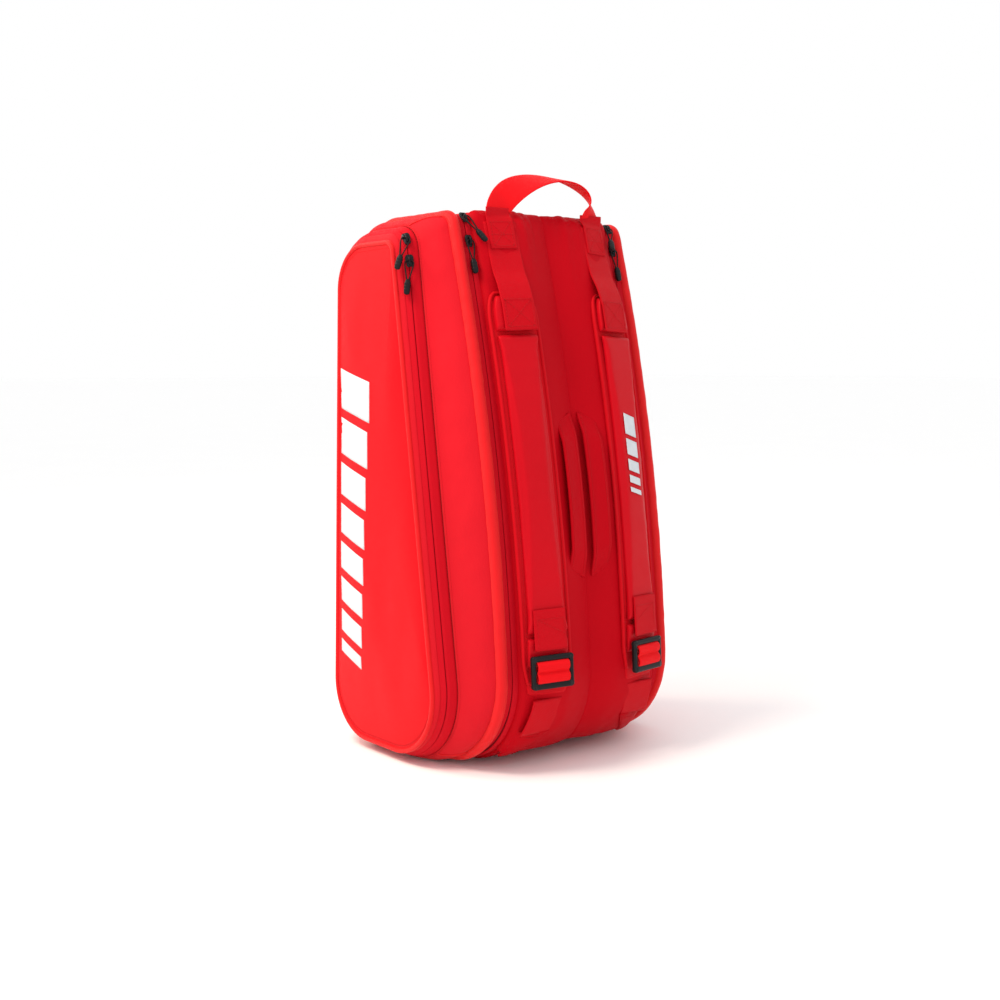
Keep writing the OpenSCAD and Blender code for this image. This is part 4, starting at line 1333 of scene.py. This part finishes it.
def slider(name, side, kind):
    """Plate, bridge and boss of a zip slider."""
    body = f"{name}_{kind}"
    at = SLIDER_PLACES[kind]
    arch = [(0, y, 3.0 + 3.0 * (1 - (y / 4.0) ** 2) ** 0.35) for y in np.linspace(-3.95, 3.95, 22)]
    boss = [(1.5 * c, 4.4 + 1.2 * s) for c, s in (unit(a) for a in range(0, 360, 30))]
    parts = [extruded("plate", slider_shape(9, 13), 1.1, 3.0, at, side),
             rings_to_solid(bar_rings(arch, superellipse(2.0, 1.0, 3.5, 12)), at, side),
             extruded("boss", boss, 2.6, 3.7, at, side, 0.25)]
    finish_piece(joined(f"{body}_metal", parts), "metal", body, (body,))


def bent(points, bend):
    """Points with everything below the cord's throat bent inwards."""
    p = np.asarray(points, float)
    y = p[..., 1] + 8
    low = y < 0
    out = p.copy()
    out[..., 1] = np.where(low, -8 + y * math.cos(bend) - p[..., 2] * math.sin(bend), p[..., 1])
    out[..., 2] = np.where(low, y * math.sin(bend) + p[..., 2] * math.cos(bend), p[..., 2])
    return out


def pull(name, side, kind):
    """Cord loop through the slider's bridge and a ridged rubber grip."""
    body = f"{name}_{kind.replace('slider', 'pull')}"
    yaw, bend = (math.radians(a) for a in PULL_TURNS[kind])
    at = SLIDER_PLACES[kind] @ place((math.cos(yaw), math.sin(yaw), 0), (-math.sin(yaw), math.cos(yaw), 0),
                                     (0, 0, 1), (0, 0, 4.25))
    half = [(0.9, -22), (1.5, -18.5), (3.0, -12), (4.2, -6.5), (4.6, -3.4), (4.1, -1.3), (2.6, -0.1),
            (0, 0.2)]
    loop = catmull(half + [(-x, y) for x, y in half[-2::-1]], 6)
    path = bent(np.column_stack([loop, np.zeros(len(loop))]), bend)
    obj = tube_mesh(f"{body}_cord", moved(round_rings(path, 0.72, 8, (0, 0, 1)), at), side)
    finish_piece(obj, "cord", body, (body,))
    rings = []
    for i, y in enumerate(np.linspace(-19.4, -36, 34)):
        share = i / 33
        end = math.sqrt(max(0.02, 1 - abs(2 * share - 1) ** 6))
        ridge = 1 - 0.07 * (0.5 + 0.5 * math.cos(share * 2 * math.pi * 5)) * (0.15 < share < 0.9)
        neck = smoothstep(share * 3)
        w, t = 6.9 * (0.8 + 0.2 * neck) * end * ridge, 4.9 * (0.82 + 0.18 * neck) * end * ridge
        rings.append([(a, y, b) for a, b in superellipse(w, t, 3.2, 20)])
    obj = tube_mesh(f"{body}_grip", moved(bent(rings, bend), at), side)
    finish_piece(obj, "rubber", body)


def catmull(points, n):
    """Smooth curve through points, n pieces between each pair."""
    points = np.asarray(points, float)
    padded = np.concatenate([[2 * points[0] - points[1]], points, [2 * points[-1] - points[-2]]])
    out = []
    for i in range(1, len(padded) - 2):
        p0, p1, p2, p3 = padded[i - 1:i + 3]
        for k in range(n):
            t = k / n
            out.append(0.5 * (2 * p1 + (p2 - p0) * t + (2 * p0 - 5 * p1 + 4 * p2 - p3) * t ** 2
                              + (3 * p1 - p0 - 3 * p2 + p3) * t ** 3))
    out.append(points[-1])
    return np.array(out)


# ---------------------------------------------------------------- the bag
def strap_graphic():
    """A small plain mark of slanted bars on the right strap."""
    bars = []
    z = 372
    for h in (22, 17, 12, 8, 5):
        grid = np.array([[strap_point(pad_x(z), z - h * i / 6 - 5 * j / 8, -9 + 18 * j / 8, 12.5)
                          for j in range(9)] for i in range(7)])
        bars.append(sheet_mesh("bar", grid, 0.4))
        z -= h + 5
    obj = joined("right_strap_graphic", bars)
    finish_piece(obj, "print", "right_strap")


def build_bag():
    body_panels()
    body_seams()
    linings()
    top_handle()
    for name, side in SIDES.items():
        main_tapes(name, side)
        cover(name, side)
        pocket(name, side)
        hinge_cloth(name, side)
        pad(name, side)
        buckle(name, side)
        anchors(name, side)
        carry_grip(name, side)
        for kind in SLIDER_PLACES:
            slider(name, side, kind)
            pull(name, side, kind)
    strap_graphic()


# ---------------------------------------------------------------- camera, floor and light
def aimed(obj, location, way):
    """Put a camera or light somewhere, looking along way."""
    obj.location = location
    obj.rotation_mode = "QUATERNION"
    obj.rotation_quaternion = Vector(way).to_track_quat("-Z", "Y")
    bpy.context.scene.collection.objects.link(obj)
    return obj


def add_camera():
    data = bpy.data.cameras.new("camera")
    data.lens = 48.9
    data.sensor_width = 36
    camera = bpy.data.objects.new("camera", data)
    bpy.context.scene.camera = aimed(camera, (-0.970, -1.186, 0.4275), (0.622, 0.777, -0.099))


def add_light(name, location, target, size, power, colour):
    data = bpy.data.lights.new(name, "AREA")
    data.shape = "DISK"
    data.size = size
    data.energy = power
    data.color = colour
    aimed(bpy.data.objects.new(name, data), location, Vector(target) - Vector(location))


def add_floor():
    half = 40.0
    mesh = bpy.data.meshes.new("floor")
    mesh.from_pydata([(-half, -half, 0), (half, -half, 0), (half, half, 0), (-half, half, 0)], [],
                     [(0, 1, 2, 3)])
    paper = Nodes("floor_paper")
    tone = paper.mix(paper.noise(paper.where(), 3.0), (0.985, 0.985, 0.985, 1), (1, 1, 1, 1))
    paper.put(paper.shader.inputs["Base Color"], tone)
    paper.shader.inputs["Roughness"].default_value = 0.9
    paper.shader.inputs["Specular IOR Level"].default_value = 0.1
    mesh.materials.append(paper.material)
    link_object("floor", mesh)


def add_stage():
    """Pale floor, white surroundings, a warm key from the left and a warm rim from the front."""
    add_floor()
    world = bpy.data.worlds.new("studio")
    world.use_nodes = True
    background = world.node_tree.nodes["Background"]
    background.inputs["Color"].default_value = (1, 1, 1, 1)
    background.inputs["Strength"].default_value = 1.0
    bpy.context.scene.world = world
    add_light("key", (-0.85, -0.02, 1.32), (0, 0, 0.45), 0.5, 12, (1, 0.88, 0.76))
    add_light("rim", (-1.15, 1.35, 1.25), (-0.16, 0.05, 0.5), 0.6, 14, (1, 0.74, 0.56))
    bpy.context.scene.view_settings.view_transform = "Standard"


add_camera()
add_stage()
build_bag()
